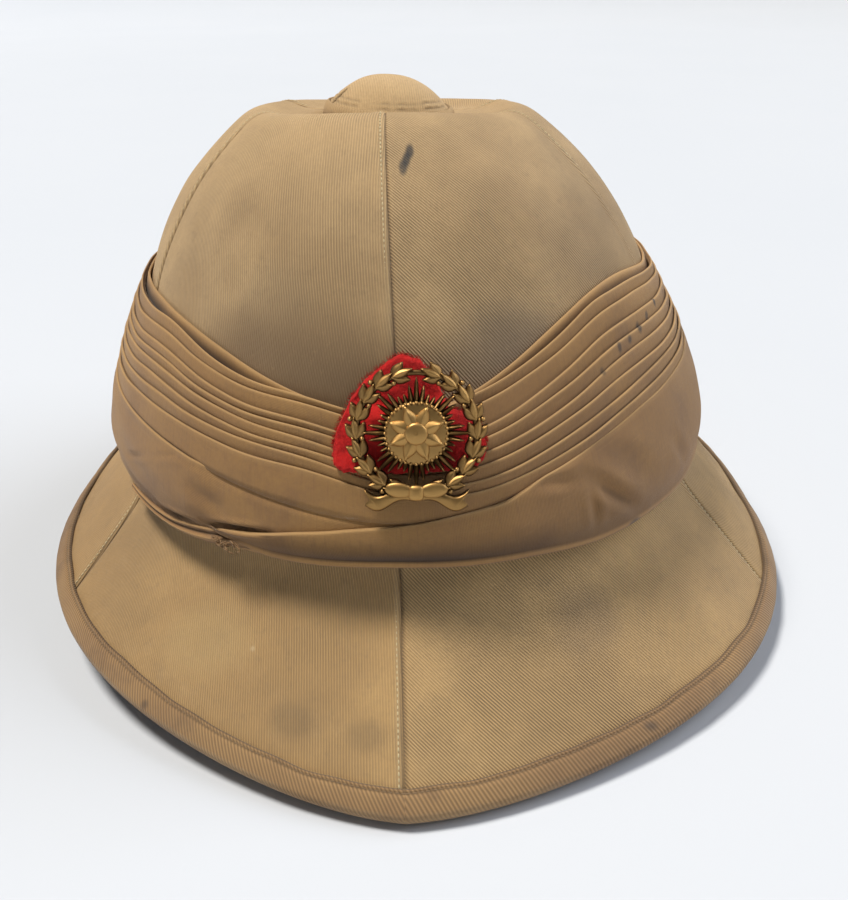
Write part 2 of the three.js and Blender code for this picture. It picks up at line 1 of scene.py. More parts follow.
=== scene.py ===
"""The looks of a pith helmet: twill cover, bound brim, pleated puggaree, ventilator, felt and badge.

Lengths are millimetres, measured from the middle of the vent hole, until a mesh is made.
Angles run from the front (0) towards the right side (+90 degrees).
"""
import math

import bpy
import numpy as np
from mathutils import Matrix, Vector, noise


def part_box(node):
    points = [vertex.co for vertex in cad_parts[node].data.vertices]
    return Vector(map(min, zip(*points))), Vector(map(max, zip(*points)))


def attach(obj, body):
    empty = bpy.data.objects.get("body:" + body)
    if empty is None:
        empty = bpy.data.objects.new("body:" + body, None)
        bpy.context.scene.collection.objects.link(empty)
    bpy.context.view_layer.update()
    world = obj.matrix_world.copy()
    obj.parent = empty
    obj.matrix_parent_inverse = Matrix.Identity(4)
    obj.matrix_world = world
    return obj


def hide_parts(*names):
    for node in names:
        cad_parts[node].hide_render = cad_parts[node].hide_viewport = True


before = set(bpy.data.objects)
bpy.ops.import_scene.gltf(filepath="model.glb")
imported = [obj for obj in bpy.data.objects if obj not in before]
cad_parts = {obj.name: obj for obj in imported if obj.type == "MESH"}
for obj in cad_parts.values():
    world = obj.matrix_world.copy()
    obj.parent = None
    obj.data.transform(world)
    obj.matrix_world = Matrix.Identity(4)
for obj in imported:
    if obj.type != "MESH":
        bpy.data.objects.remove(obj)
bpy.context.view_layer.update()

MM = 0.001

# The cover's outside, from the vent hole down to the brim's edge, as in the frame
SECTION_FIELDS = ("half", "front", "back", "side_z", "front_z", "back_z", "skew", "point")
SECTIONS = {
    "neck": (12.5, 12.5, 12.5, 160, 160, 159.5, 0, 0),
    "dish": (33, 34, 33, 160, 162.3, 157, 0, 0),
    "rim": (44.6, 46, 45, 162, 166.5, 158.5, 0, 0),
    "shoulder": (54.3, 60, 61, 156.7, 159.3, 154, 0, 0),
    "upper": (69.7, 78, 80, 141.5, 142, 140.5, 0, 0),
    "mid": (83.5, 93, 96, 119.5, 119.5, 119.5, 0, 0),
    "low": (91.5, 103.5, 106.5, 95.5, 95.5, 95.5, 0, 0),
    "base": (96.5, 110, 113, 71.5, 71.5, 71.5, 0, 0),
    "root": (100, 114, 117, 53.5, 53.5, 53.5, 0, 0),
    "flare": (106, 122.5, 127, 42.5, 40.5, 40.5, 1, 0.3),
    "brim": (119.5, 143.5, 154, 28, 22.5, 22.5, 2.5, 0.7),
    "edge": (134, 164.5, 181, 12.5, 4.1, 4.1, 4.6, 1),
}
COLUMN = {name: np.array([row[k] for row in SECTIONS.values()], float)
          for k, name in enumerate(SECTION_FIELDS)}
LAST_ROW = len(SECTIONS) - 1
RIM_ROW = 2.5
LEAN = -8.3 / 160
POINTED_FRONT = 0.055
LEFT_TUCK = 0.025
HEM_LENGTH = 9
CLOTH = 1.2
GAP = 0.3
CORK_CROWN = 5.5
CORK_BRIM = 3.4
BINDING_WIDTH = 7.5
BADGE = {"x": 2.5, "y": -108, "z": 91, "tilt": math.radians(21), "curve": 105}


def frame_shift():
    """Where the vent hole's middle lies in the frame, from the nodes that are centred on it."""
    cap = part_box("ventilator_cap")
    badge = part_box("badge")
    x = (badge[0].x + badge[1].x) / 2 / MM - BADGE["x"]
    return np.array([x, (cap[0].y + cap[1].y) / 2 / MM, 0.0])


SHIFT = frame_shift()


def smooth(value):
    share = np.clip(value, 0, 1)
    return share * share * (3 - 2 * share)


def mix(a, b, share):
    return a + (b - a) * share


def degrees(angle):
    return (np.degrees(angle) + 180) % 360 - 180


def wander(angle, seed, waves=(2, 3, 5, 8, 13), fall=0.7):
    """A smooth line round the helmet that wavers between about -1 and 1."""
    phases = np.random.default_rng(seed).uniform(0, 2 * math.pi, len(waves))
    total = sum(np.sin(n * angle + phase) / n ** fall for n, phase in zip(waves, phases))
    return total / sum(1 / n ** fall for n in waves) * 1.6


def grain(points, size, seed):
    """Soft noise at points in millimetres, its lumps about size wide."""
    offset = Vector((seed * 7.3, seed * 3.1, seed * 5.7))
    flat = np.asarray(points).reshape(-1, 3)
    values = [noise.noise(Vector(point) / size + offset) for point in flat]
    return np.array(values).reshape(np.asarray(points).shape[:-1])


def section_points(index, angle):
    across = np.sin(angle)
    ahead = np.cos(angle)
    at_front = ahead > 0
    reach = np.where(at_front, COLUMN["front"][index], COLUMN["back"][index])
    end_z = np.where(at_front, COLUMN["front_z"][index], COLUMN["back_z"][index])
    corner = np.abs(np.sin(2 * angle)) ** 1.15 * np.cos(2 * angle)
    point = COLUMN["point"][index]
    pull = np.where(at_front, 1 - POINTED_FRONT * point * corner, 1)
    tuck = 1 + LEFT_TUCK * point * np.minimum(0, across)
    power = np.where(index == LAST_ROW, 3, 2)
    lower = COLUMN["skew"][index] * np.sign(across) * np.abs(across) ** 1.5
    z = mix(COLUMN["side_z"][index], end_z, np.abs(ahead) ** power) - lower
    x = COLUMN["half"][index] * across * pull * tuck + LEAN * z
    return np.stack([x, -reach * ahead * pull, z], -1)


def body(row, angle):
    """Points of the cover's outside. Row 0 is the vent hole's edge, the last row the brim's."""
    row, angle = np.broadcast_arrays(np.asarray(row, float), np.asarray(angle, float))
    start = np.clip(np.floor(row), 0, LAST_ROW - 1).astype(int)
    share = (row - start)[..., None]
    near = [section_points(np.clip(start + step, 0, LAST_ROW), angle) for step in (-1, 0, 1, 2)]
    p0, p1, p2, p3 = near
    square = (2 * p0 - 5 * p1 + 4 * p2 - p3) * share ** 2
    cube = (3 * p1 - p0 - 3 * p2 + p3) * share ** 3
    return 0.5 * (2 * p1 + (p2 - p0) * share + square + cube)


def unit(vectors):
    return vectors / np.maximum(np.linalg.norm(vectors, axis=-1, keepdims=True), 1e-9)


def body_normal(row, angle):
    row_step, angle_step = 0.02, 0.01
    down = body(np.minimum(LAST_ROW, row + row_step), angle) - body(np.maximum(0, row - row_step), angle)
    round_it = body(row, angle + angle_step) - body(row, angle - angle_step)
    return unit(np.cross(down, round_it))


def off_body(row, angle, distance):
    distance = np.asarray(distance, float)[..., None]
    return body(row, angle) + body_normal(row, angle) * distance


def rows_at(heights, angles):
    """The rows at which the cover passes heights, one line of heights for each angle."""
    table = np.linspace(RIM_ROW, LAST_ROW, 340)
    levels = body(table[None, :], angles[:, None])[..., 2]
    pairs = zip(heights, levels)
    return np.array([np.interp(-line, -level, table) for line, level in pairs])


def hem_frame(angle):
    edge = body(np.full_like(angle, LAST_ROW), angle)
    out = unit(edge - body(np.full_like(angle, LAST_ROW - 0.4), angle))
    up = body_normal(np.full_like(angle, LAST_ROW - 0.2), angle)
    up = unit(up - out * np.sum(up * out, -1, keepdims=True))
    return edge, out, up


def cover_lines(angles, rows, hem_steps):
    """The cover's outside and its normals from the vent hole to the hem, one line for each angle.

    angles has one line of angles for each column, which covers the rows and then the hem's steps.
    """
    points = body(rows[None, :], angles[:, :len(rows)])
    normals = body_normal(rows[None, :], angles[:, :len(rows)])
    edge, out, up = hem_frame(angles[:, -1])
    hem = [edge - out * inboard for inboard in hem_steps]
    ups = [up] * len(hem_steps)
    return (np.concatenate([points, np.stack(hem, 1)], 1),
            np.concatenate([normals, np.stack(ups, 1)], 1))


# Meshes
def grid_faces(columns, rows, around, loop, first=0):
    """Quads of a grid of points, and the same quads on a grid with its closing line repeated."""
    wide = columns if around else columns - 1
    tall = rows if loop else rows - 1
    u, v = np.meshgrid(np.arange(wide), np.arange(tall), indexing="ij")
    corners = [(u, v), (u + 1, v), (u + 1, v + 1), (u, v + 1)]
    faces = np.stack([(a % columns) * rows + b % rows for a, b in corners], -1).reshape(-1, 4)
    spread = np.stack([a * (rows + 1) + b for a, b in corners], -1).reshape(-1, 4)
    return faces + first, spread


def arc_lengths(points, axis, closing):
    """Distances along one axis of a grid of points, with one more line where it closes."""
    if closing:
        points = np.concatenate([points, np.take(points, [0], axis)], axis)
    steps = np.linalg.norm(np.diff(points, axis=axis), axis=-1)
    zero = np.zeros_like(np.take(steps, [0], axis))
    return np.concatenate([zero, np.cumsum(steps, axis)], axis)


def add_piece(name, points, faces, material, replaced=(), uv=None, attributes=None):
    """A mesh in the frame, riding on the helmet."""
    mesh = bpy.data.meshes.new(name)
    placed = (np.asarray(points).reshape(-1, 3) + SHIFT) * MM
    mesh.from_pydata(placed.tolist(), [], [list(map(int, face)) for face in faces])
    for title, values in (attributes or {}).items():
        layer = mesh.attributes.new(title, "FLOAT", "POINT")
        layer.data.foreach_set("value", np.asarray(values, np.float32).ravel())
    if uv is not None:
        layer = mesh.uv_layers.new(name="cloth")
        layer.data.foreach_set("uv", np.asarray(uv, np.float32).ravel())
    mesh.polygons.foreach_set("use_smooth", np.ones(len(mesh.polygons), bool))
    mesh.validate()
    piece = bpy.data.objects.new(name, mesh)
    bpy.context.scene.collection.objects.link(piece)
    piece.data.materials.append(material)
    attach(piece, "root")
    if replaced:
        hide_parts(*replaced)
    return piece


def face_out(piece):
    import bmesh
    shape = bmesh.new()
    shape.from_mesh(piece.data)
    bmesh.ops.recalc_face_normals(shape, faces=shape.faces)
    shape.to_mesh(piece.data)
    shape.free()


def ring_piece(name, loops, material, replaced=(), attributes=None):
    """A closed section carried round the helmet: loops has a line of points for each angle."""
    columns, rows = loops.shape[:2]
    faces, spread = grid_faces(columns, rows, True, True)
    u = arc_lengths(loops, 0, True)
    v = arc_lengths(loops, 1, True)
    u = np.concatenate([u, u[:, :1]], 1).mean(1, keepdims=True) * np.ones((1, rows + 1))
    v = np.concatenate([v, v[:1]], 0)
    uv = np.stack([u, v], -1).reshape(-1, 2)[spread.ravel()]
    piece = add_piece(name, loops, faces, material, replaced, uv, attributes)
    face_out(piece)
    return piece


def wall_piece(name, outer, inner, material, replaced=(), uv=None, attributes=None):
    """A sheet with an outer and an inner side, closed at its edges."""
    columns, rows = outer.shape[:2]
    count = columns * rows
    front, _ = grid_faces(columns, rows, False, False)
    edge = [k for k in range(rows)]
    edge += [column * rows + rows - 1 for column in range(1, columns)]
    edge += [(columns - 1) * rows + k for k in range(rows - 2, -1, -1)]
    edge += [column * rows for column in range(columns - 2, 0, -1)]
    loop = np.array(edge)
    after = np.roll(loop, -1)
    rim = np.stack([loop, after, after + count, loop + count], -1)
    faces = np.concatenate([front, front[:, ::-1] + count, rim])
    both = np.concatenate([outer.reshape(-1, 3), inner.reshape(-1, 3)])
    corner_uv = None
    if uv is not None:
        flat = np.concatenate([uv.reshape(-1, 2)] * 2)
        corner_uv = flat[faces.ravel()]
    doubled = {title: np.tile(np.asarray(values).ravel(), 2) for title, values in (attributes or {}).items()}
    piece = add_piece(name, both, faces, material, replaced, corner_uv, doubled)
    face_out(piece)
    return piece


# Materials
class Nodes:
    """A short way to write a material's nodes."""

    def __init__(self, name):
        self.material = bpy.data.materials.new(name)
        self.material.use_nodes = True
        self.tree = self.material.node_tree
        self.shader = next(node for node in self.tree.nodes if node.type == "BSDF_PRINCIPLED")

    def add(self, kind, inputs=None, **settings):
        node = self.tree.nodes.new("ShaderNode" + kind)
        for key, value in settings.items():
            setattr(node, key, value)
        for key, value in (inputs or {}).items():
            self.put(node.inputs[key], value)
        return node

    def put(self, socket, value):
        if hasattr(value, "is_linked"):
            self.tree.links.new(value, socket)
        else:
            socket.default_value = value

    def math(self, operation, a, b=0.0, clamp=False):
        return self.add("Math", {0: a, 1: b}, operation=operation, use_clamp=clamp).outputs[0]

    def ramp(self, value, low, high):
        """0 below low and 1 above high, with soft ends."""
        inputs = {"Value": value, "From Min": low, "From Max": high}
        node = self.add("MapRange", inputs, interpolation_type="SMOOTHSTEP")
        return node.outputs["Result"]

    def blend(self, share, a, b, mode="MIX"):
        node = self.add("Mix", data_type="RGBA", blend_type=mode)
        self.put(node.inputs[0], share)
        for socket, value in ((node.inputs[6], a), (node.inputs[7], b)):
            self.put(socket, (*value, 1) if isinstance(value, tuple) else value)
        return node.outputs[2]

    def noise(self, scale, detail=3.0, rough=0.55, vector=None, distortion=0.0):
        inputs = {"Scale": scale, "Detail": detail, "Roughness": rough, "Distortion": distortion}
        node = self.add("TexNoise", inputs)
        self.put(node.inputs["Vector"], vector or self.place())
        return node.outputs["Fac"]

    def place(self):
        """Object coordinates, in metres."""
        return self.add("TexCoord").outputs["Object"]

    def cloth(self):
        """Coordinates that lie along the cloth, in millimetres."""
        return self.add("UVMap", uv_map="cloth").outputs["UV"]

    def attribute(self, name):
        return self.add("Attribute", attribute_name=name).outputs["Fac"]

    def ribs(self, turn, pitch, waver=0.0):
        """Ribs across the cloth, from 0 in a groove to 1 on a crest."""
        direction = (math.cos(turn), math.sin(turn), 0.0)
        along = self.add("VectorMath", {0: self.cloth(), 1: direction}, operation="DOT_PRODUCT")
        distance = along.outputs["Value"]
        if waver:
            distance = self.math("MULTIPLY_ADD", self.noise(60, 1), waver)
            distance.node.inputs[2].default_value = 0
            distance = self.math("ADD", distance, along.outputs["Value"])
        wave = self.math("SINE", self.math("MULTIPLY", distance, 2 * math.pi / pitch))
        return self.math("MULTIPLY_ADD", wave, 0.5), wave

    def near(self, spot, size):
        """1 at a spot of the frame and 0 at size from it, with the spot's three sizes in millimetres."""
        offset = self.add("VectorMath", {0: self.place(), 1: tuple(v * MM for v in spot)}, operation="SUBTRACT")
        scaled = self.add("VectorMath", {0: offset.outputs[0], 1: tuple(1 / (v * MM) for v in size)},
                          operation="MULTIPLY")
        length = self.add("VectorMath", {0: scaled.outputs[0]}, operation="LENGTH").outputs["Value"]
        return self.ramp(length, 1.0, 0.35)

    def finish(self, colour, roughness, height=None, depth=0.0001, strength=1.0, **uniform):
        self.put(self.shader.inputs["Base Color"], colour)
        self.put(self.shader.inputs["Roughness"], roughness)
        for name, value in uniform.items():
            self.shader.inputs[name.replace("_", " ")].default_value = value
        if height is not None:
            bump = self.add("Bump", {"Strength": strength, "Distance": depth, "Height": height})
            self.put(self.shader.inputs["Normal"], bump.outputs["Normal"])
        return self.material


def half_wave(nodes, ribs):
    scaled, wave = ribs
    scaled.node.inputs[2].default_value = 0.5
    return scaled


# Stains, worn places and some painted shade: middle in millimetres, half sizes, colour and strength
TWILL_MARKS = (
    ((0.0, -60.8, 158.2), (1.7, 4.0, 3.6), (0.03, 0.03, 0.03), 0.85),
    ((-0.9, -63.2, 156.4), (1.6, 4.0, 3.6), (0.03, 0.03, 0.03), 0.85),
    ((-1.8, -65.2, 154.6), (1.7, 4.0, 4.0), (0.04, 0.038, 0.036), 0.8),
    ((-32.6, -142.3, 17.7), (9, 8, 6), (0.12, 0.085, 0.05), 0.3),
    ((-11.6, -148, 17.5), (7, 8, 5), (0.12, 0.085, 0.05), 0.28),
    ((-45.3, -124.5, 28.9), (1.2, 1.2, 1.0), (0.55, 0.42, 0.25), 0.5),
    ((-60, -118, 27), (22, 16, 14), (0.5, 0.34, 0.15), 0.35),
    ((52, -112, 30), (16, 20, 12), (0.2, 0.14, 0.09), 0.3),
    ((-38, -84, 118), (19, 14, 18), (0.21, 0.15, 0.085), 0.24),
    ((34, -90, 112), (26, 14, 15), (0.17, 0.13, 0.09), 0.3),
    # Darker lower crown at the front: partly dirt, partly painted shade.
    ((-34, -92, 98), (54, 30, 30), (0.19, 0.118, 0.058), 0.85),
    ((40, -92, 98), (54, 30, 28), (0.17, 0.115, 0.072), 0.75),
)
WRAP_MARKS = (
    ((78.6, -44.2, 107.9), (1.4, 1.6, 3.4), (0.02, 0.018, 0.018), 0.85),
    ((74.4, -54.4, 106.2), (1.3, 2.2, 2.2), (0.025, 0.02, 0.02), 0.7),
    ((70.6, -62.5, 105.2), (1.5, 2.4, 3.0), (0.02, 0.018, 0.018), 0.8),
    ((66.5, -69, 103.6), (1.3, 2.4, 1.8), (0.03, 0.024, 0.022), 0.7),
    ((62.6, -74.6, 103.0), (1.4, 1.6, 3.0), (0.03, 0.024, 0.022), 0.7),
    ((57.0, -83.8, 99.4), (1.5, 1.4, 2.2), (0.03, 0.024, 0.022), 0.6),
    ((-62.5, -85.7, 99.1), (0.9, 0.9, 0.9), (0.03, 0.02, 0.015), 0.8),
    ((-54, -109, 56), (11, 9, 5), (0.2, 0.12, 0.06), 0.5),
    ((70, -92, 52), (5, 4, 2.4), (0.07, 0.05, 0.035), 0.8),
)
BINDING_MARKS = (
    ((-77.3, -129.0, 11.4), (2.4, 2.4, 2.6), (0.06, 0.04, 0.03), 0.8),
    ((68.5, -133.4, 8.5), (5, 2.6, 2.4), (0.06, 0.045, 0.035), 0.75),
    ((80, -124, 9), (4, 2, 2), (0.06, 0.045, 0.035), 0.6),
    ((-131.8, -15.4, 17.2), (2.2, 3, 2.4), (0.08, 0.055, 0.035), 0.7),
)
TWILL_PALE = (0.585, 0.394, 0.192)
TWILL_BASE = (0.415, 0.267, 0.124)
TWILL_DARK = (0.245, 0.16, 0.08)
TWILL_GOLD = (0.51, 0.318, 0.127)
TWILL_GOLD_DARK = (0.4, 0.242, 0.096)
TWILL_GROOVE = (0.115, 0.078, 0.043)


def add_marks(nodes, colour, marks):
    ragged = nodes.noise(420, 3, 0.7)
    for spot, size, tone, strength in marks:
        placed = tuple(np.array(spot) + SHIFT)
        edge = nodes.math("MULTIPLY", nodes.near(placed, size), nodes.ramp(ragged, 0.05, 0.42))
        colour = nodes.blend(nodes.math("MULTIPLY", edge, strength), colour, tone)
    return colour


def twill_material(name, turn, pitch, rib_depth):
    nodes = Nodes(name)
    rib = half_wave(nodes, nodes.ribs(turn, pitch, 0.3))
    yarn = half_wave(nodes, nodes.ribs(turn + math.radians(64), 0.42, 0.3))
    fine = nodes.noise(900, 2)
    height = nodes.math("MULTIPLY_ADD", yarn, 0.25)
    nodes.put(height.node.inputs[2], rib)
    grit = nodes.math("MULTIPLY_ADD", fine, 0.35)
    nodes.put(grit.node.inputs[2], height)
    soft = nodes.ramp(nodes.noise(11, 4, 0.6), 0.34, 0.68)
    crown = nodes.blend(soft, TWILL_BASE, TWILL_PALE)
    brim = nodes.blend(soft, TWILL_GOLD_DARK, TWILL_GOLD)
    colour = nodes.blend(nodes.attribute("golden"), crown, brim)
    large = nodes.ramp(nodes.noise(16, 5, 0.65, distortion=0.5), 0.48, 0.72)
    colour = nodes.blend(nodes.math("MULTIPLY", large, 0.26), colour, TWILL_DARK)
    blotch = nodes.ramp(nodes.noise(55, 5, 0.65), 0.5, 0.78)
    colour = nodes.blend(nodes.math("MULTIPLY", blotch, 0.3), colour, TWILL_DARK)
    speckle = nodes.ramp(nodes.noise(230, 4, 0.7), 0.52, 0.74)
    colour = nodes.blend(nodes.math("MULTIPLY", speckle, 0.34), colour, TWILL_DARK)
    cloudy = nodes.ramp(nodes.noise(85, 4, 0.7), 0.52, 0.8)
    colour = nodes.blend(nodes.math("MULTIPLY", cloudy, 0.22), colour, TWILL_PALE)
    # Paler where the cloth is worn; this attribute also carries painted light on the crown's top and the brim's right
    # side.
    paler_wear_and_light = nodes.math("MULTIPLY", nodes.attribute("wear_and_painted_light"), 0.75, True)
    colour = nodes.blend(paler_wear_and_light, colour, TWILL_PALE)
    strong = nodes.ramp(nodes.noise(38, 3), 0.2, 0.75)
    groove = nodes.math("MULTIPLY", nodes.math("SUBTRACT", 1.0, rib), rib_depth)
    groove = nodes.math("MULTIPLY", groove, nodes.math("ADD", strong, 0.45), True)
    colour = nodes.blend(groove, colour, TWILL_GROOVE)
    thread = nodes.ramp(nodes.noise(650, 3, 0.7), 0.35, 0.7)
    colour = nodes.blend(nodes.math("MULTIPLY", thread, 0.16), colour, TWILL_DARK)
    # Painted shade: darker in the seams' grooves, in creases and in gaps under the cloth.
    painted_shade_and_grime = nodes.math("MULTIPLY", nodes.attribute("painted_shade_and_grime"), 0.8, True)
    colour = nodes.blend(painted_shade_and_grime, colour, (0.075, 0.05, 0.028))
    colour = add_marks(nodes, colour, TWILL_MARKS)
    return nodes.finish(colour, 0.95, grit, 0.0002, 0.8, Sheen_Weight=0.06, Sheen_Roughness=0.5)


def plain_cloth_material(name):
    nodes = Nodes(name)
    warp = half_wave(nodes, nodes.ribs(0.0, 0.44, 0.5))
    weft = half_wave(nodes, nodes.ribs(math.pi / 2, 0.44, 0.5))
    weave = nodes.math("ADD", warp, weft)
    stretch = nodes.add("Mapping", {"Vector": nodes.cloth(), "Scale": (1.6, 0.11, 1.0)}).outputs[0]
    slub = nodes.noise(0.9, 3, 0.6, stretch)
    level = nodes.add("Mapping", {"Vector": nodes.cloth(), "Scale": (0.08, 1.2, 1.0)}).outputs[0]
    line = nodes.noise(0.8, 3, 0.6, level)
    soft = nodes.noise(11, 4, 0.6)
    blotch = nodes.noise(38, 4, 0.6, distortion=0.5)
    colour = nodes.blend(nodes.ramp(soft, 0.36, 0.66), (0.34, 0.182, 0.056), (0.255, 0.134, 0.048))
    colour = nodes.blend(nodes.math("MULTIPLY", nodes.ramp(slub, 0.5, 0.75), 0.3), colour, (0.17, 0.09, 0.042))
    colour = nodes.blend(nodes.math("MULTIPLY", nodes.ramp(line, 0.55, 0.8), 0.2), colour, (0.43, 0.26, 0.105))
    colour = nodes.blend(nodes.math("MULTIPLY", nodes.ramp(blotch, 0.5, 0.74), 0.42), colour, (0.16, 0.083, 0.04))
    thread = nodes.ramp(nodes.noise(700, 3, 0.7), 0.35, 0.7)
    colour = nodes.blend(nodes.math("MULTIPLY", thread, 0.2), colour, (0.16, 0.09, 0.045))
    # Paler fold crests and rolled edges: partly wear, partly painted highlight.
    colour = nodes.blend(nodes.math("MULTIPLY", nodes.attribute("wear_and_painted_light"), 0.55, True), colour, (0.5, 0.31, 0.125))
    # Painted shade in crevices, gaps and hidden folds, and a darker lower front edge that is partly dirt, partly
    # painted shade.
    colour = nodes.blend(nodes.math("MULTIPLY", nodes.attribute("painted_shade_and_grime"), 0.92, True), colour, (0.03, 0.016, 0.009))
    colour = add_marks(nodes, colour, WRAP_MARKS)
    bumps = nodes.math("MULTIPLY_ADD", slub, 2.2)
    nodes.put(bumps.node.inputs[2], weave)
    return nodes.finish(colour, 0.9, bumps, 0.00006, 0.6, Sheen_Weight=0.1, Sheen_Roughness=0.5)


def binding_material():
    nodes = Nodes("binding_cloth")
    rib = half_wave(nodes, nodes.ribs(math.radians(-28), 1.05, 0.4))
    soft = nodes.noise(16, 4, 0.6)
    blotch = nodes.noise(70, 4, 0.6)
    colour = nodes.blend(nodes.ramp(soft, 0.35, 0.65), (0.36, 0.215, 0.09), (0.27, 0.155, 0.07))
    colour = nodes.blend(nodes.math("MULTIPLY", nodes.ramp(blotch, 0.5, 0.72), 0.5), colour, (0.15, 0.09, 0.05))
    groove = nodes.math("MULTIPLY", nodes.math("SUBTRACT", 1.0, rib), 0.6)
    colour = nodes.blend(groove, colour, (0.1, 0.06, 0.03))
    colour = add_marks(nodes, colour, BINDING_MARKS)
    # Painted shade where the binding meets the brim and in its groove.
    colour = nodes.blend(nodes.math("MULTIPLY", nodes.attribute("painted_shade_and_grime"), 0.8, True), colour, (0.06, 0.04, 0.022))
    colour = nodes.blend(nodes.math("MULTIPLY", nodes.attribute("wear_and_painted_light"), 0.5, True), colour, (0.45, 0.32, 0.18))
    return nodes.finish(colour, 0.93, rib, 0.0002, 0.8, Sheen_Weight=0.1, Sheen_Roughness=0.5)


def thread_material(name, colour):
    nodes = Nodes(name)
    tone = nodes.blend(nodes.noise(300, 2), colour, tuple(0.6 * v for v in colour))
    return nodes.finish(tone, 0.8, nodes.noise(2500, 2), 0.00004, 0.6)


def cork_material():
    nodes = Nodes("bare_cork")
    cell = nodes.add("TexVoronoi", {"Vector": nodes.place(), "Scale": 420.0}).outputs["Distance"]
    soft = nodes.noise(30, 5, 0.65)
    fleck = nodes.noise(260, 4, 0.7)
    colour = nodes.blend(nodes.ramp(soft, 0.35, 0.65), (0.42, 0.29, 0.155), (0.33, 0.215, 0.11))
    colour = nodes.blend(nodes.math("MULTIPLY", nodes.ramp(fleck, 0.58, 0.7), 0.75), colour, (0.12, 0.07, 0.035))
    height = nodes.math("ADD", cell, fleck)
    return nodes.finish(colour, 0.95, height, 0.0003, 0.6)


def felt_material():
    nodes = Nodes("scarlet_felt")
    fibre = nodes.noise(1500, 4, 0.7, distortion=1.5)
    soft = nodes.noise(120, 3, 0.6)
    colour = nodes.blend(nodes.ramp(soft, 0.35, 0.7), (0.6, 0.007, 0.005), (0.36, 0.004, 0.004))
    colour = nodes.blend(nodes.math("MULTIPLY", nodes.ramp(fibre, 0.5, 0.75), 0.5), colour, (0.9, 0.035, 0.02))
    return nodes.finish(colour, 0.98, fibre, 0.0004, 0.9, Sheen_Weight=0.15, Sheen_Roughness=0.4,
                        Sheen_Tint=(1.0, 0.2, 0.15, 1.0))


def brass_material():
    nodes = Nodes("aged_brass")
    relief = nodes.ramp(nodes.attribute("relief"), 0.05, 0.75)
    patina = nodes.noise(160, 4, 0.65)
    share = nodes.math("ADD", nodes.math("MULTIPLY", relief, 0.7), nodes.math("MULTIPLY", patina, 0.45))
    colour = nodes.blend(nodes.ramp(share, 0.25, 1.0), (0.085, 0.045, 0.02), (0.45, 0.265, 0.09))
    rough = nodes.add("MapRange", {"Value": patina, "To Min": 0.3, "To Max": 0.6}).outputs["Result"]
    return nodes.finish(colour, rough, nodes.noise(700, 3), 0.00006, 0.4, Metallic=1.0)


PUGGAREE_CLOTH = plain_cloth_material("puggaree_cloth")
BINDING_CLOTH = binding_material()
SEAM_THREAD = thread_material("seam_thread", (0.66, 0.53, 0.3))
BINDING_THREAD = thread_material("binding_thread", (0.24, 0.155, 0.08))
CORK = cork_material()
FELT = felt_material()
BRASS = brass_material()

# The cover: six gores from the vent hole to the brim's edge
PANELS = (
    # The brim values: a little wear on every panel's brim, and more on the right side as painted light.
    {"name": "front_right", "brim_light_and_wear": 0.42, "rib_turn": -33, "rib_pitch": 0.87, "from": 0, "to": 67.5, "rib_depth": 0.62},
    {"name": "side_right", "brim_light_and_wear": 0.3, "rib_turn": -33, "rib_pitch": 0.87, "from": 67.5, "to": 120, "rib_depth": 0.5},
    {"name": "back_right", "brim_light_and_wear": 0.1, "rib_turn": -33, "rib_pitch": 0.87, "from": 120, "to": 180, "rib_depth": 0.45},
    {"name": "back_left", "brim_light_and_wear": 0.1, "rib_turn": -33, "rib_pitch": 0.87, "from": 180, "to": 240, "rib_depth": 0.45},
    {"name": "side_left", "brim_light_and_wear": 0.1, "rib_turn": -33, "rib_pitch": 0.87, "from": 240, "to": 300, "rib_depth": 0.45},
    {"name": "front_left", "brim_light_and_wear": 0.12, "rib_turn": -17, "rib_pitch": 0.76, "from": 300, "to": 360, "rib_depth": 0.42},
)
# How far each seam strays on the crown and on the brim, in degrees
SEAM_SWAY = {0: (1.4, 0), 67.5: (3, -0.8), 120: (0.5, 0), 180: (-0.6, 0), 240: (0.4, 0), 300: (-3, 0), 360: (1.4, 0)}
PANEL_COLUMNS = 66
SEAM = {"groove": 0.5, "groove_width": 0.5, "ridge": 0.45, "stitch": 1.5, "allowance": 2.9}


def panel_rows():
    crown = np.linspace(0, 5.6, 70)
    hidden = np.linspace(5.7, 8.2, 14)
    brim = np.linspace(8.3, 10.62, 56)
    return np.concatenate([crown, hidden, brim])


def seam_relief(to_right, to_left):
    """How far the cloth stands out near its seams, from the distances to the next seam on each side."""
    near = np.minimum(to_right, to_left)
    groove = -SEAM["groove"] * (1 - smooth(near / SEAM["groove_width"]))
    pressed = smooth(to_right / 0.7) * (1 - smooth((to_right - SEAM["allowance"]) / 1.0))
    dimple = 0.25 * np.exp(-((to_right - SEAM["stitch"]) / 0.35) ** 2)
    return groove + SEAM["ridge"] * pressed - dimple


def seam_angle(seam, rows):
    """Where a seam runs: its angle at each row."""
    crown, brim = SEAM_SWAY[seam]
    return np.radians(seam + mix(crown, brim, smooth((rows - 6) / 2)))


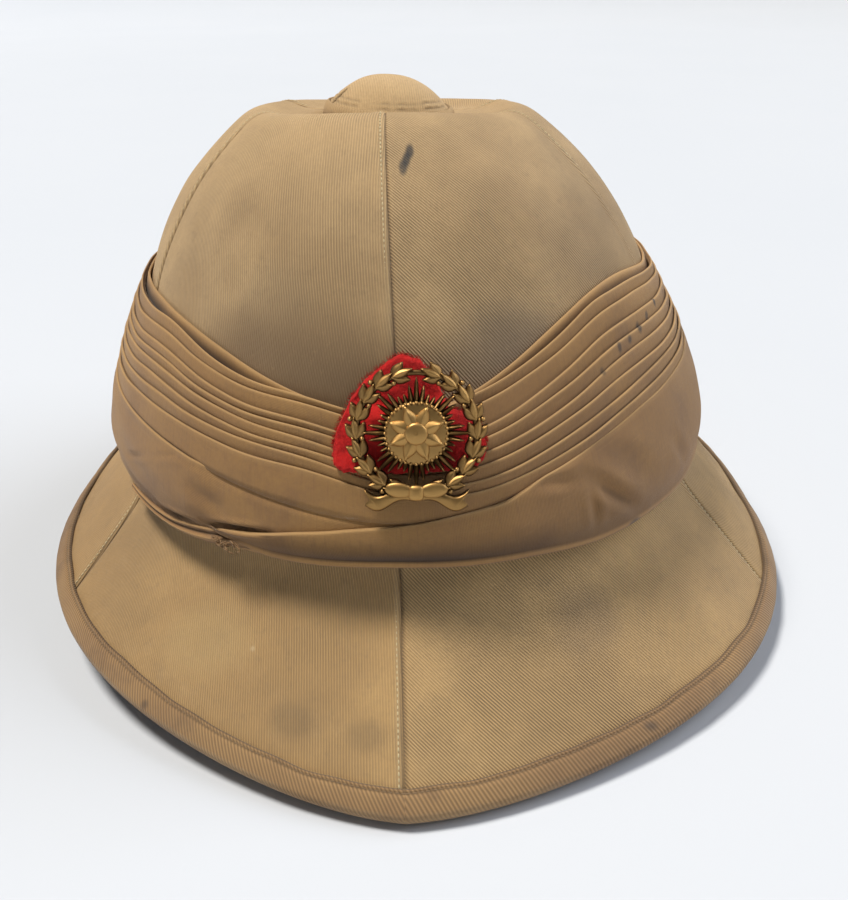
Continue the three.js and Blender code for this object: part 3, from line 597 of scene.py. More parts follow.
def panel_piece(index, panel):
    name = panel["name"]
    shares = smooth(np.linspace(0, 1, PANEL_COLUMNS)) * 0.35 + np.linspace(0, 1, PANEL_COLUMNS) * 0.65
    rows = panel_rows()
    hem_steps = (6.2, 4.0, 2.0, 0.3)
    sway_rows = np.concatenate([rows, [LAST_ROW] * len(hem_steps)])
    angles = mix(seam_angle(panel["from"], sway_rows)[None, :], seam_angle(panel["to"], sway_rows)[None, :],
                 shares[:, None])
    points, normals = cover_lines(angles, rows, hem_steps)
    across = np.linalg.norm(np.diff(points, axis=0), axis=-1)
    from_left = np.concatenate([np.zeros((1, points.shape[1])), np.cumsum(across, 0)])
    to_left = from_left
    to_right = from_left[-1:] - from_left
    middle = from_left - from_left[-1:] / 2
    down = arc_lengths(points, 1, False)
    uv = np.stack([middle, down], -1)
    dents = 0.5 * grain(points, 38, index + 1) + 0.22 * grain(points, 13, index + 11)
    relief = seam_relief(to_right, to_left) + dents * smooth(np.minimum(to_left, to_right) / 8)
    crown_top = 1 - smooth((points[..., 2] - 150) / 10)
    relief = relief * mix(0.5, 1, crown_top)
    outer = points + normals * relief[..., None]
    inner = points - normals * CLOTH
    # Painted shade along the seams' grooves and in the stitch line's dimples.
    painted_shade_and_grime = (1 - smooth(to_left / 0.55)) * 0.6 + (1 - smooth(to_right / 0.3)) * 0.45
    painted_shade_and_grime += 0.25 * np.exp(-((to_right - SEAM["stitch"]) / 0.35) ** 2)
    wear_and_painted_light = smooth((to_right - 0.4) / 0.4) * (1 - smooth((to_right - 1.4) / 0.9)) * 0.6
    # Paler towards the crown's top: partly fading, partly painted light.
    wear_and_painted_light += 0.6 * smooth((points[..., 2] - 132) / 28)
    golden = smooth((62 - points[..., 2]) / 16)
    # Paler brim: a little wear everywhere, and painted light on the right side.
    wear_and_painted_light += panel["brim_light_and_wear"] * golden
    turn = math.radians(panel["rib_turn"])
    material = twill_material("twill_" + name, turn, panel["rib_pitch"], panel["rib_depth"])
    return wall_piece("twill_" + name, outer, inner, material, ("cover_panel_" + name,), uv,
                      {"painted_shade_and_grime": painted_shade_and_grime, "wear_and_painted_light": wear_and_painted_light, "golden": golden})


for index, panel in enumerate(PANELS):
    panel_piece(index, panel)


# Stitches
def stitch_piece(name, lines, pitch, length, radius, material):
    """Short raised stitches along lines of points with normals."""
    turns = np.linspace(0, 2 * math.pi, 6, endpoint=False)
    ends = ((-0.5, 0.35), (-0.36, 0.9), (0.0, 1.1), (0.36, 0.9), (0.5, 0.35))
    points, faces = [], []
    for path, normals in lines:
        steps = np.concatenate([[0], np.cumsum(np.linalg.norm(np.diff(path, axis=0), axis=1))])
        places = np.arange(pitch / 2, steps[-1], pitch)
        centre = np.stack([np.interp(places, steps, path[:, k]) for k in range(3)], 1)
        ahead = np.stack([np.interp(places + 0.2, steps, path[:, k]) for k in range(3)], 1)
        up = unit(np.stack([np.interp(places, steps, normals[:, k]) for k in range(3)], 1))
        along = unit(ahead - centre + 1e-9)
        side = np.cross(along, up)
        for c, a, u, s in zip(centre, along, up, side):
            first = len(points) * 1
            for share, girth in ends:
                for turn in turns:
                    ring = s * math.cos(turn) + u * math.sin(turn) * 0.8
                    points.append(c + a * share * length + ring * radius * girth)
            sides = len(turns)
            for ring in range(len(ends) - 1):
                for k in range(sides):
                    low = first + ring * sides
                    after = (k + 1) % sides
                    faces.append((low + k, low + after, low + sides + after, low + sides + k))
            faces.append(tuple(first + k for k in reversed(range(sides))))
            faces.append(tuple(first + (len(ends) - 1) * sides + k for k in range(sides)))
    piece = add_piece(name, np.array(points), faces, material)
    face_out(piece)
    return piece


def seam_lines():
    rows = np.concatenate([np.linspace(1.2, 5.2, 120), np.linspace(8.2, 10.7, 90)])
    lines = []
    for panel in PANELS:
        seam = seam_angle(panel["from"], rows)
        at = body(rows, seam)
        beside = body(rows, seam - 0.02)
        reach = np.linalg.norm(beside - at, axis=1)
        angles = seam - 0.02 * SEAM["stitch"] / reach
        normals = body_normal(rows, angles)
        path = body(rows, angles) + normals * 0.2
        split = int(np.argmax(np.diff(rows) > 1)) + 1
        lines += [(path[:split], normals[:split]), (path[split:], normals[split:])]
    return lines


stitch_piece("seam_stitches", seam_lines(), 1.6, 1.1, 0.25, SEAM_THREAD)

# The binding, folded over the brim's edge
BINDING_COLUMNS = 900


def binding_loops():
    angles = np.linspace(0, 2 * math.pi, BINDING_COLUMNS, endpoint=False)
    edge, out, up = hem_frame(angles)
    core = CLOTH + GAP + CORK_BRIM
    half = core / 2 + GAP + 1.05
    centre_lift = -core / 2
    waver = 0.35 * wander(angles, 3, (9, 17, 31, 53), 0.4)
    width = BINDING_WIDTH + waver + 0.2 * wander(angles, 4, (5, 11, 37), 0.4)
    profile = []
    for share in (0, 0.03, 0.08, 0.14, 0.2, 0.3, 0.45, 0.65, 0.85, 1):
        puff = half + 0.25 * math.sin(math.pi * share) - 0.5 * math.exp(-((share - 0.2) / 0.07) ** 2)
        puff -= 0.85 * (1 - share / 0.05) if share < 0.05 else 0
        profile.append((-width * (1 - share) - 1.1 * share, centre_lift + puff))
    for turn in np.radians((75, 55, 35, 15, -5, -25, -45, -65, -85)):
        radius_out = 2.35
        profile.append((-1.1 + radius_out * math.cos(turn) + 0 * width, centre_lift + half * math.sin(turn)))
    for share in (0.15, 0.5, 0.8, 1):
        profile.append((-width * share - 1.1 * (1 - share), centre_lift - half))
    for share in (1, 0.5):
        profile.append((-width * share, centre_lift - core / 2 - GAP + 0.05))
    profile.append((GAP + 0 * width, centre_lift - core / 2 - GAP + 0.05))
    profile.append((GAP + 0 * width, GAP - 0.05))
    for share in (0.5, 1):
        profile.append((-width * share, GAP - 0.05))
    loops = [edge + out * np.broadcast_to(reach, angles.shape)[:, None] + up * lift for reach, lift in profile]
    loops = np.stack(loops, 1)
    lump = 0.16 * grain(loops, 9, 21)
    loops = loops + up[:, None, :] * lump[..., None]
    loops[..., 2] = np.maximum(loops[..., 2], 0)
    # Painted shade where the binding's edge meets the brim and in the groove beside it.
    painted_shade_and_grime = np.zeros(loops.shape[:2])
    painted_shade_and_grime[:, 0] = 1
    painted_shade_and_grime[:, 1] = 0.8
    painted_shade_and_grime[:, 4] = 0.45
    wear_and_painted_light = np.zeros(loops.shape[:2])
    wear_and_painted_light[:, 10:18] = 0.35 * smooth(0.5 + 0.8 * wander(angles, 8, (4, 9, 17, 29), 0.3))[:, None]
    return loops, {"painted_shade_and_grime": painted_shade_and_grime, "wear_and_painted_light": wear_and_painted_light}, (angles, edge, out, up, width, centre_lift + half)


loops, details, hem = binding_loops()
ring_piece("binding_strip", loops, BINDING_CLOTH, ("brim_binding",), details)


def binding_stitch_line():
    angles, edge, out, up, width, lift = hem
    reach = -width * 0.8 - 1.1 * 0.2
    path = edge + out * reach[:, None] + up * (lift - 0.33)
    return [(np.concatenate([path, path[:1]]), np.concatenate([up, up[:1]]))]


stitch_piece("binding_stitches", binding_stitch_line(), 1.8, 1.3, 0.2, BINDING_THREAD)


# The cork shell, whose bare inside shows from below
def shell_piece():
    angles = np.linspace(0, 2 * math.pi, 144, endpoint=False)
    rows = np.concatenate([np.linspace(0, 3, 16), np.linspace(3.2, 10.4, 60)])
    hem_steps = (HEM_LENGTH * 0.66, 0)
    points, normals = cover_lines(np.repeat(angles[:, None], len(rows) + len(hem_steps), 1), rows, hem_steps)
    outside = points - normals * (CLOTH + GAP)
    depth = mix(CORK_CROWN, CORK_BRIM, smooth((rows - 7) / 3))
    depth = np.concatenate([depth, [CORK_BRIM] * len(hem_steps)])
    inside = outside - normals * (depth[None, :] + 0.12 * grain(outside, 14, 31))[..., None]
    loops = np.concatenate([outside, inside[:, ::-1]], 1)
    ring_piece("cork_body", loops, CORK, ("cork_shell",))


shell_piece()

# The puggaree: heights of the wound cloth and how far it stands out
BAND = {
    "top": {"front": 93, "left": 110.5, "right": 112, "back": 96, "hump": 7},
    "pleats_end": {"front": 67.5, "left": 78, "right": 85.5, "back": 70, "hump": 0},
    "bottom": {"front": 53, "left": 48.5, "right": 48.5, "back": 50.5, "hump": 0},
}
RISE = 1.1
BULGE = {0: 2.9, 0.15: 4.8, 0.35: 7.6, 0.6: 10.3, 0.8: 11, 0.9: 9.9, 1: 6.6}
CLEAR = 0.4
LAP = 1.05
WRAP_COLUMNS = 720


def band_height(name, angle):
    band = BAND[name]
    across, ahead = np.sin(angle), np.cos(angle)
    end = np.where(ahead > 0, band["front"], band["back"])
    side = np.where(across > 0, band["right"], band["left"])
    hump = np.where((across > 0) & (ahead > 0), band["hump"] * np.sin(2 * angle) ** 2, 0)
    return mix(end, side, smooth(RISE * np.abs(across))) + hump


def bulge_table():
    shares = np.linspace(-0.2, 1.2, 281)
    stands = np.interp(shares, list(BULGE), list(BULGE.values()))
    kernel = np.hanning(31)
    padded = np.pad(stands, 15, "edge")
    return shares, np.convolve(padded, kernel / kernel.sum(), "valid")


BULGE_SHARES, BULGE_STANDS = bulge_table()


def bulge(share):
    return np.interp(share, BULGE_SHARES, BULGE_STANDS)


def band_share(height, angle):
    top = band_height("top", angle)
    return (top - height) / (top - band_height("bottom", angle))


# The pleats' fold edges, as shares of the stack from its top to its lower edge, at angles in degrees
PLEAT_EDGES = {
    -180: (0, 0.13, 0.26, 0.38, 0.5, 0.62, 0.74, 0.87),
    -85: (0, 0.17, 0.29, 0.39, 0.5, 0.61, 0.73, 0.86),
    -45: (0, 0.11, 0.25, 0.33, 0.42, 0.51, 0.62, 0.74),
    -12: (0, 0.07, 0.21, 0.28, 0.36, 0.44, 0.53, 0.63),
    14: (0, 0.1, 0.33, 0.42, 0.54, 0.66, 0.78, 0.9),
    45: (0, 0.1, 0.26, 0.4, 0.53, 0.66, 0.78, 0.89),
    80: (0, 0.13, 0.28, 0.42, 0.55, 0.67, 0.78, 0.89),
    180: (0, 0.13, 0.26, 0.38, 0.5, 0.62, 0.74, 0.87),
}
# How far the stack's wavy top edge lies above the straight line, in millimetres at degrees
TOP_WAVE = {-180: -1, -90: -1, -65: -2, -50: -0.6, -45: -0.2, -37: -2.4, -29: -1.5, -24: -1.3, -18: 0.8,
            -13: 2.4, -8: 2, 0: 1, 12: 0.6, 25: -1.2, 32: -1.8, 40: -0.8, 60: -1.4, 80: -1, 180: -1}
FOLD = ((0.5, -0.98), (0.12, -0.86), (-0.06, -0.5), (0.08, -0.14), (0.5, 0.0))
FACE_SHARES = (0.12, 0.3, 0.5, 0.7, 0.88)


def at_degrees(table, angle, softness=9):
    """Values of a table of degrees, with rounded corners."""
    keys = sorted(table)
    steps = np.arange(-200, 201)
    line = np.interp((steps + 180) % 360 - 180, keys, [table[key] for key in keys])
    kernel = np.hanning(2 * softness + 1)
    soft = np.convolve(line, kernel / kernel.sum(), "same")
    return np.interp(degrees(angle), steps, soft)


def pleat_piece():
    angles = np.linspace(0, 2 * math.pi, WRAP_COLUMNS, endpoint=False)
    top = band_height("top", angles) + at_degrees(TOP_WAVE, angles) + 0.25 * wander(angles, 5, (7, 13, 23))
    end = band_height("pleats_end", angles)
    count = len(PLEAT_EDGES[-180])
    edges = []
    for k in range(count):
        line = at_degrees({key: row[k] for key, row in PLEAT_EDGES.items()}, angles)
        sway = 0.011 * wander(angles, 40 + k, (3, 5, 9, 14)) if k else 0
        edges.append(line + sway)
    heights, stands, creases, wear_and_light_rows = [], [], [], []

    def put(height, stand, painted_shade_and_grime, wear_and_painted_light):
        heights.append(height)
        stands.append(stand)
        creases.append(np.broadcast_to(painted_shade_and_grime, angles.shape))
        wear_and_light_rows.append(np.broadcast_to(wear_and_painted_light, angles.shape))

    for k in range(count):
        here = mix(top, end, edges[k])
        below = mix(top, end, edges[k + 1]) if k + 1 < count else end - 1.2
        stand = bulge(band_share(here, angles)) + 0.22 * wander(angles, 60 + k, (6, 11, 19, 31), 0.3)
        next_stand = bulge(band_share(below, angles)) - LAP
        # Painted shade in the crevice above each fold's crest, and a paler crest: partly wear, partly painted
        # highlight.
        for (down, out), painted_shade_and_grime, wear_and_painted_light in zip(FOLD, (1, 0.8, 0.15, 0, 0), (0, 0, 0.7, 1, 0.25)):
            scale = 0.75 if k == 0 else 1
            put(here - down, stand + out * scale, painted_shade_and_grime if k else 0.2 * painted_shade_and_grime, wear_and_painted_light)
        start, stop = here - FOLD[-1][0], below - FOLD[0][0] + 0.1
        belly = 0.16 + 0.1 * wander(angles, 80 + k, (5, 9, 15))
        for share in FACE_SHARES:
            lift = belly * math.sin(math.pi * share)
            shade = 0.35 * float(smooth((share - 0.75) / 0.25))
            put(mix(start, stop, share), mix(stand, next_stand, share) + lift, shade, 0)
    behind = 1.9
    middle = mix(top, end, 0.36)
    for height, stand in ((end - 1.2, CLEAR), (middle, CLEAR), (middle + 0.6, behind), (top - 0.6, behind)):
        put(height, stand + 0 * angles, 0, 0)
    heights, stands = np.stack(heights, 1), np.stack(stands, 1)
    rows = rows_at(heights, angles)
    loops = off_body(rows, angles[:, None], stands)
    details = {"painted_shade_and_grime": np.stack(creases, 1), "wear_and_painted_light": np.stack(wear_and_light_rows, 1)}
    ring_piece("pleated_turns", loops, PUGGAREE_CLOTH, ("puggaree_pleats",), details)


pleat_piece()


def inner_fold_piece():
    angles = np.linspace(0, 2 * math.pi, WRAP_COLUMNS, endpoint=False)
    top = band_height("top", angles) + 1.3 + 0.25 * wander(angles, 6, (3, 7, 11))
    low = band_height("top", angles) - 6.5
    # Painted shade on the lower, hidden part of the fold, and a paler fold edge: partly wear, partly painted
    # highlight.
    section = ((0.35, CLEAR, 0), (0, 0.75, 0), (0.3, 1.15, 0), (1.2, 1.25, 0), (2.6, 1.2, 0.5), (4, 1.2, 1))
    heights = [top - down for down, _, _ in section] + [low, low]
    stands = [stand + 0.12 * wander(angles, 9, (13, 29)) for _, stand, _ in section] + [1.2, CLEAR]
    stands = [np.broadcast_to(stand, angles.shape) for stand in stands]
    creases = [np.full(angles.shape, painted_shade_and_grime) for _, _, painted_shade_and_grime in section] + [np.ones(angles.shape)] * 2
    wear_and_light_rows = [np.full(angles.shape, value) for value in (0.3, 0.9, 0.8, 0.2, 0, 0, 0, 0)]
    rows = rows_at(np.stack(heights, 1), angles)
    loops = off_body(rows, angles[:, None], np.stack(stands, 1))
    details = {"painted_shade_and_grime": np.stack(creases, 1), "wear_and_painted_light": np.stack(wear_and_light_rows, 1)}
    ring_piece("inner_fold", loops, PUGGAREE_CLOTH, ("puggaree_inner_fold",), details)


inner_fold_piece()

# The loose end: it runs in from the right over the lower turn and ends at the left of the front
TAIL_EDGE = {-32: 54.9, -30: 56.2, -28: 57.5, -25: 58.8, -22.5: 59.6, -15: 62.5, -7.5: 64.8, 0: 66.3, 7.5: 68, 15: 69.8, 22.5: 72}
TAIL = {"left": -32.0, "right": 150.0, "cloth": 0.8}
# Soft creases of the lower turn: angle and height where each starts and ends, depth and width
CREASES = (
    (30.3, 72.5, 43, 53, 1.5, 2.4),
    (30.3, 72, 21, 73.5, 0.7, 2.0),
    (30.8, 70, 32.3, 54, 0.6, 1.7),
    (36, 76, 48, 62, 0.7, 3.6),
    (52, 70, 60, 54, 0.8, 2.8),
    (-57.5, 61, -45, 70, 0.45, 0.9),
    (-45, 70, -34.7, 76, 0.4, 0.9),
    (-62, 64, -38, 60, 0.5, 3.4),
    (-19, 61, -32.5, 57.2, 2.0, 1.0),
    (-33.5, 55.6, -45, 52.6, 1.7, 0.9),
    (-36, 68, -27, 62.5, 0.6, 2.4),
    (-75, 60, -60, 53, 0.8, 2.8),
    (-88, 70, -76, 58, 0.9, 3.4),
    (12, 60, 24, 55, 0.5, 3.0),
    (96, 72, 108, 56, 0.8, 3.2),
    (150, 64, 170, 55, 0.8, 3.0),
    (-150, 66, -128, 57, 0.8, 3.2),
)


def crease_depth(angles, heights):
    """How far the soft creases press the cloth in, at degrees and heights."""
    turn = degrees(angles)[:, None]
    total = np.zeros(heights.shape)
    for from_turn, from_z, to_turn, to_z, depth, width in CREASES:
        reach = 1.85
        ax, az = from_turn * reach, from_z
        bx, bz = to_turn * reach, to_z
        px, pz = turn * reach, heights
        length = (bx - ax) ** 2 + (bz - az) ** 2
        share = np.clip(((px - ax) * (bx - ax) + (pz - az) * (bz - az)) / length, 0, 1)
        away = np.hypot(px - mix(ax, bx, share), pz - mix(az, bz, share))
        fade = np.sin(math.pi * np.clip(share, 0.04, 0.96))
        total += depth * fade * (np.exp(-(away / width) ** 2) - 0.55 * np.exp(-((away - 1.5 * width) / width) ** 2))
    return total


def crease_shade(angles, height):
    """The deepest creases are dark."""
    return np.clip(0.6 * (crease_depth(angles, height[:, None])[:, 0] - 0.75), 0, 0.85)


def grime_and_shade(angles, height):
    """Darker along the lower edge at the front: partly dirt, partly painted shade."""
    low = smooth((band_share(height, angles) - 0.7) / 0.3)
    turn = degrees(angles)
    return low * (0.36 * smooth((75 - np.abs(turn)) / 40) + 0.7 * np.exp(-((turn - 2) / 26) ** 2))


def tail_cover(angles):
    """1 where the outer turn lies over the lower turn, fading at its ends."""
    turn = degrees(angles)
    return smooth((turn + 36) / 8) * smooth((TAIL["right"] - turn) / 20)


def wrap_stand(shares, angles):
    return bulge(shares) + 0.5 * wander(angles, 71, (3, 5, 8, 12), 0.4)[:, None] * smooth(shares * 2)


def lower_wrap_piece():
    angles = np.linspace(0, 2 * math.pi, WRAP_COLUMNS, endpoint=False)
    top = band_height("pleats_end", angles) + 0.3
    bottom = band_height("bottom", angles) + 0.5 * wander(angles, 14, (4, 9, 15), 0.4)
    recess = 1.5 * tail_cover(angles)
    heights, stands, creases, wear_and_light_rows = [], [], [], []
    # Painted shade above the fold and a paler crest, as on the pleats.
    folds = zip(FOLD, (1, 0.8, 0.15, 0, 0), (0, 0, 0.7, 1, 0.25))
    for (down, out), painted_shade_and_grime, wear_and_painted_light in folds:
        heights.append(top - down)
        stands.append(bulge(band_share(top, angles)) + out - recess)
        creases.append(painted_shade_and_grime + 0 * angles)
        wear_and_light_rows.append(wear_and_painted_light + 0 * angles)
    for share in np.linspace(0.04, 1, 26):
        height = mix(top - 0.5, bottom + 2.2, share)
        level = band_share(height, angles)[:, None]
        stand = wrap_stand(level, angles)[:, 0] - recess - crease_depth(angles, height[:, None])[:, 0]
        start = bulge(band_share(top, angles)) - recess
        heights.append(height)
        stands.append(mix(start, stand, smooth(share / 0.12)))
        creases.append(crease_shade(angles, height) + grime_and_shade(angles, height))
        wear_and_light_rows.append(0 * angles)
    edge_stand = stands[-1]
    # Painted shade under the rolled edge, and its upper side paler: partly wear, partly painted highlight.
    for turn in np.radians((25, 50, 75, 100, 130)):
        heights.append(bottom + 2.2 - 2.2 * math.sin(turn))
        stands.append(edge_stand - 2.0 * (1 - math.cos(turn)))
        creases.append(0.5 * float(turn > 1.2) + 0 * angles)
        wear_and_light_rows.append(0.3 * float(turn < 1.2) + 0 * angles)
    # Painted shade on the hidden inside of the band.
    for height, stand in ((bottom + 1.2, CLEAR + 2), (bottom + 1.5, CLEAR), (top - 0.6, CLEAR)):
        heights.append(height)
        stands.append(stand + 0 * angles)
        creases.append(1 + 0 * angles)
        wear_and_light_rows.append(0 * angles)
    heights, stands = np.stack(heights, 1), np.stack(stands, 1)
    loops = off_body(rows_at(heights, angles), angles[:, None], stands)
    details = {"painted_shade_and_grime": np.stack(creases, 1), "wear_and_painted_light": np.stack(wear_and_light_rows, 1)}
    ring_piece("lower_turn", loops, PUGGAREE_CLOTH, ("puggaree_lower_wrap",), details)


lower_wrap_piece()


def tail_piece():
    turns = np.linspace(TAIL["left"], TAIL["right"], 420)
    angles = np.radians(turns)
    end_of_stack = band_height("pleats_end", angles)
    keys = sorted(TAIL_EDGE)
    drawn = np.interp(turns, keys, [TAIL_EDGE[key] for key in keys])
    top = mix(drawn, end_of_stack + 0.35, smooth((turns - 16) / 8)) + 0.18 * wander(angles, 90, (7, 13, 29), 0.3)
    bottom = band_height("bottom", angles) - 0.8 + 0.6 * wander(angles, 15, (4, 9, 15), 0.4)
    bottom = bottom + 4.4 * smooth((-19 - turns) / 13)
    start = smooth((turns - TAIL["left"]) / 7)
    sink = 1.2 * smooth((turns - 120) / 30) + 1.1 * (1 - start)
    outer_heights, outer_stands, creases, wear_and_light_rows = [], [], [], []
    # Painted shade above the fold and a paler crest, as on the pleats.
    folds = zip(FOLD[1:], (0.8, 0.15, 0, 0), (0, 0.7, 1, 0.25))
    base = wrap_stand(band_share(top, angles)[:, None], angles)[:, 0] + 0.1 - sink
    for (down, out), painted_shade_and_grime, wear_and_painted_light in folds:
        outer_heights.append(top - down)
        outer_stands.append(base + out * mix(0.3, 1, start))
        creases.append(painted_shade_and_grime + 0 * angles)
        wear_and_light_rows.append(wear_and_painted_light + 0 * angles)
    for share in np.linspace(0.04, 1, 24):
        height = mix(top - 0.5, bottom + 2.4, share)
        level = np.minimum(1, band_share(height, angles))[:, None]
        stand = wrap_stand(level, angles)[:, 0] + 0.1 - sink - crease_depth(angles, height[:, None])[:, 0]
        outer_heights.append(height)
        outer_stands.append(stand)
        creases.append(crease_shade(angles, height) + grime_and_shade(angles, height))
        wear_and_light_rows.append(0 * angles)
    edge_stand = outer_stands[-1]
    # Painted shade under the rolled edge, and its upper side paler: partly wear, partly painted highlight.
    for turn in np.radians((25, 50, 75, 95)):
        outer_heights.append(bottom + 2.4 - 2.4 * math.sin(turn))
        outer_stands.append(edge_stand - 1.8 * (1 - math.cos(turn)))
        creases.append(0.4 * float(turn > 1.2) + 0 * angles)
        wear_and_light_rows.append(0.3 * float(turn < 1.2) + 0 * angles)
    heights, stands = np.stack(outer_heights, 1), np.stack(outer_stands, 1)
    rows = rows_at(heights, angles)
    outer = off_body(rows, angles[:, None], stands)
    inner = off_body(rows, angles[:, None], stands - TAIL["cloth"])
    uv = np.stack([np.broadcast_to(arc_lengths(outer, 0, False).mean(1, keepdims=True), rows.shape),
                   arc_lengths(outer, 1, False)], -1)
    details = {"painted_shade_and_grime": np.stack(creases, 1), "wear_and_painted_light": np.stack(wear_and_light_rows, 1)}
    return wall_piece("front_tail", outer, inner, PUGGAREE_CLOTH, ("puggaree_front_tail",), uv,
                      details)


front_tail = tail_piece()

# The tucked end: the loose end's cloth, gathered into a flat roll along the bottom edge
TUCK_LINES = {
    "turn": (-24.0, -27.8, -34, -40, -45, -50, -56),
    "top": (58.0, 56.7, 54.6, 52.6, 51.5, 50.8, 50.0),
    "bottom": (51.8, 50.9, 49.3, 48.2, 47.8, 47.7, 48.0),
    "thick": (0.9, 2.0, 1.9, 1.6, 1.3, 0.9, 0.4),
}
FRAY = {"turn": -27.2, "z": 52.8, "threads": 22, "radius": 0.2, "length": 2.1}


def tube(path, radius, sides=5):
    """The points and faces of a thin thread along a path."""
    path = np.array(path)
    along = unit(np.gradient(path, axis=0))
    side = unit(np.cross(along, np.array([0.3, 0.5, 0.8])))
    up = np.cross(along, side)
    turns = np.linspace(0, 2 * math.pi, sides, endpoint=False)
    rings = path[:, None, :] + radius * (side[:, None, :] * np.cos(turns)[:, None] +
                                         up[:, None, :] * np.sin(turns)[:, None])
    faces, _ = grid_faces(len(path), sides, False, True)
    faces = [tuple(face) for face in faces.tolist()]
    faces += [tuple(reversed(range(sides))), tuple((len(path) - 1) * sides + k for k in range(sides))]
    return rings.reshape(-1, 3), faces


def fray_threads():
    dice = np.random.default_rng(12)
    threads = []
    for _ in range(FRAY["threads"]):
        turn = math.radians(FRAY["turn"] + dice.uniform(-1.6, 1.8))
        height = FRAY["z"] + dice.uniform(-1.0, 1.4)
        stand = float(wrap_stand(np.array([[0.93]]), np.array([turn]))[0, 0]) + 1.2
        steps = np.linspace(0, 1, 7)
        drop = dice.uniform(0.5, 1.0) * FRAY["length"]
        sweep = dice.uniform(-1.4, 1.4)
        curl = dice.uniform(-1.1, 1.1)
        angles = turn + np.radians(sweep * steps ** 1.5 + curl * np.sin(math.pi * steps))
        heights = height - drop * steps
        stands = stand + dice.uniform(0.2, 1.3) * np.sin(math.pi * 0.8 * steps)
        rows = rows_at(heights[:, None], angles)[:, 0]
        threads.append(tube(off_body(rows, angles, stands), FRAY["radius"]))
    return threads


def tuck_piece():
    turns = np.linspace(TUCK_LINES["turn"][0], TUCK_LINES["turn"][-1], 170)
    angles = np.radians(turns)
    lines = {key: np.interp(-turns, [-turn for turn in TUCK_LINES["turn"]], TUCK_LINES[key])
             for key in ("top", "bottom", "thick")}
    base = wrap_stand(np.full((len(angles), 1), 0.93), angles)[:, 0] - 0.7
    base = base - 1.9 * smooth((turns + 30.5) / 2.5)
    down = np.linspace(0, 1, 26)
    phase = 0.22 * wander(angles, 19, (5, 9, 14), 0.3)[:, None]
    ridge = 0.5 + 0.5 * np.cos(2 * math.pi * 1.6 * (down[None, :] - 0.14 + 0.1 * phase) + 1.2 * phase)
    cap = np.sqrt(np.sin(math.pi * np.clip(down, 0.01, 0.99)))[None, :]
    outer = base[:, None] + lines["thick"][:, None] * (0.25 + 0.75 * ridge) * cap
    heights = mix(lines["top"][:, None], lines["bottom"][:, None], down[None, :])
    back = np.linspace(1, 0, 6)
    heights = np.concatenate([heights, mix(lines["top"][:, None], lines["bottom"][:, None], back[None, :])], 1)
    stands = np.concatenate([outer, np.repeat(base[:, None] - 0.3, len(back), 1)], 1)
    loops = off_body(rows_at(heights, angles), angles[:, None], stands)
    columns, rows = loops.shape[:2]
    faces, spread = grid_faces(columns, rows, False, True)
    faces = [*faces.tolist(), tuple(reversed(range(rows))), tuple((columns - 1) * rows + k for k in range(rows))]
    u = arc_lengths(loops, 0, False).mean(1, keepdims=True) * np.ones((1, rows + 1))
    uv = np.stack([u, arc_lengths(loops, 1, True)], -1).reshape(-1, 2)[spread.ravel()]
    uv = np.concatenate([uv, np.zeros((2 * rows, 2))])
    hidden = np.zeros((columns, len(back)))
    # Painted shade between the roll's ridges, and paler ridges: partly wear, partly painted highlight.
    painted_shade_and_grime = np.concatenate([np.clip(1.6 * (0.45 - ridge), 0, 0.8) + 0 * outer, hidden], 1)
    wear_and_painted_light = np.concatenate([np.clip(1.6 * (ridge - 0.6), 0, 0.5) + 0 * outer, hidden], 1)
    points, extra = [loops.reshape(-1, 3)], []
    for thread_points, thread_faces in fray_threads():
        first = sum(len(part) for part in points)
        extra += [tuple(first + k for k in face) for face in thread_faces]
        points.append(thread_points)
    points = np.concatenate(points)
    added = len(points) - columns * rows
    uv = np.concatenate([uv, np.zeros((sum(len(face) for face in extra), 2))])
    details = {"painted_shade_and_grime": np.concatenate([painted_shade_and_grime.ravel(), np.zeros(added)]),
               "wear_and_painted_light": np.concatenate([wear_and_painted_light.ravel(), np.zeros(added)])}
    piece = add_piece("tucked_end", points, faces + extra, PUGGAREE_CLOTH, ("puggaree_tucked_end",),
                      uv, details)
    face_out(piece)
    return piece


tucked_end = tuck_piece()

# The ventilator: a cloth-covered cap over its seat
VENT = {"z": 163, "tilt": math.radians(3.5), "radius": 20.2, "rise": 9.7, "base": -0.5}
VENT_SEAT = {"inner": 20.5, "outer": 21.1, "foot": 22.6}
TUBE = {"outer": 11.6, "inner": 10, "bottom": -7, "top": 4.1}


def vent_points(radius, height, turn):
    """Points round the ventilator's leaning axis."""
    x, y = radius * np.sin(turn), -radius * np.cos(turn)
    tilt = VENT["tilt"]
    leaned_x = x * math.cos(tilt) + height * math.sin(tilt)
    leaned_z = height * math.cos(tilt) - x * math.sin(tilt)
    return np.stack([leaned_x + LEAN * VENT["z"], y + 0 * leaned_x, leaned_z + VENT["z"]], -1)


VENT_CLOTH = twill_material("vent_twill", math.radians(8), 0.8, 0.12)


def cover_below(radius, turns):
    """How high the cover lies under a ring round the ventilator's axis, measured from that ring."""
    rows, angles = np.meshgrid(np.linspace(0, 2, 60), np.linspace(0, 2 * math.pi, 360, endpoint=False))
    cover = body(rows.ravel(), angles.ravel())
    ring = vent_points(radius + 0 * turns, 0 * turns, turns)[:, 0]
    away = np.hypot(ring[:, None, 0] - cover[None, :, 0], ring[:, None, 1] - cover[None, :, 1])
    return (cover[away.argmin(1), 2] - ring[:, 2])[:, None]


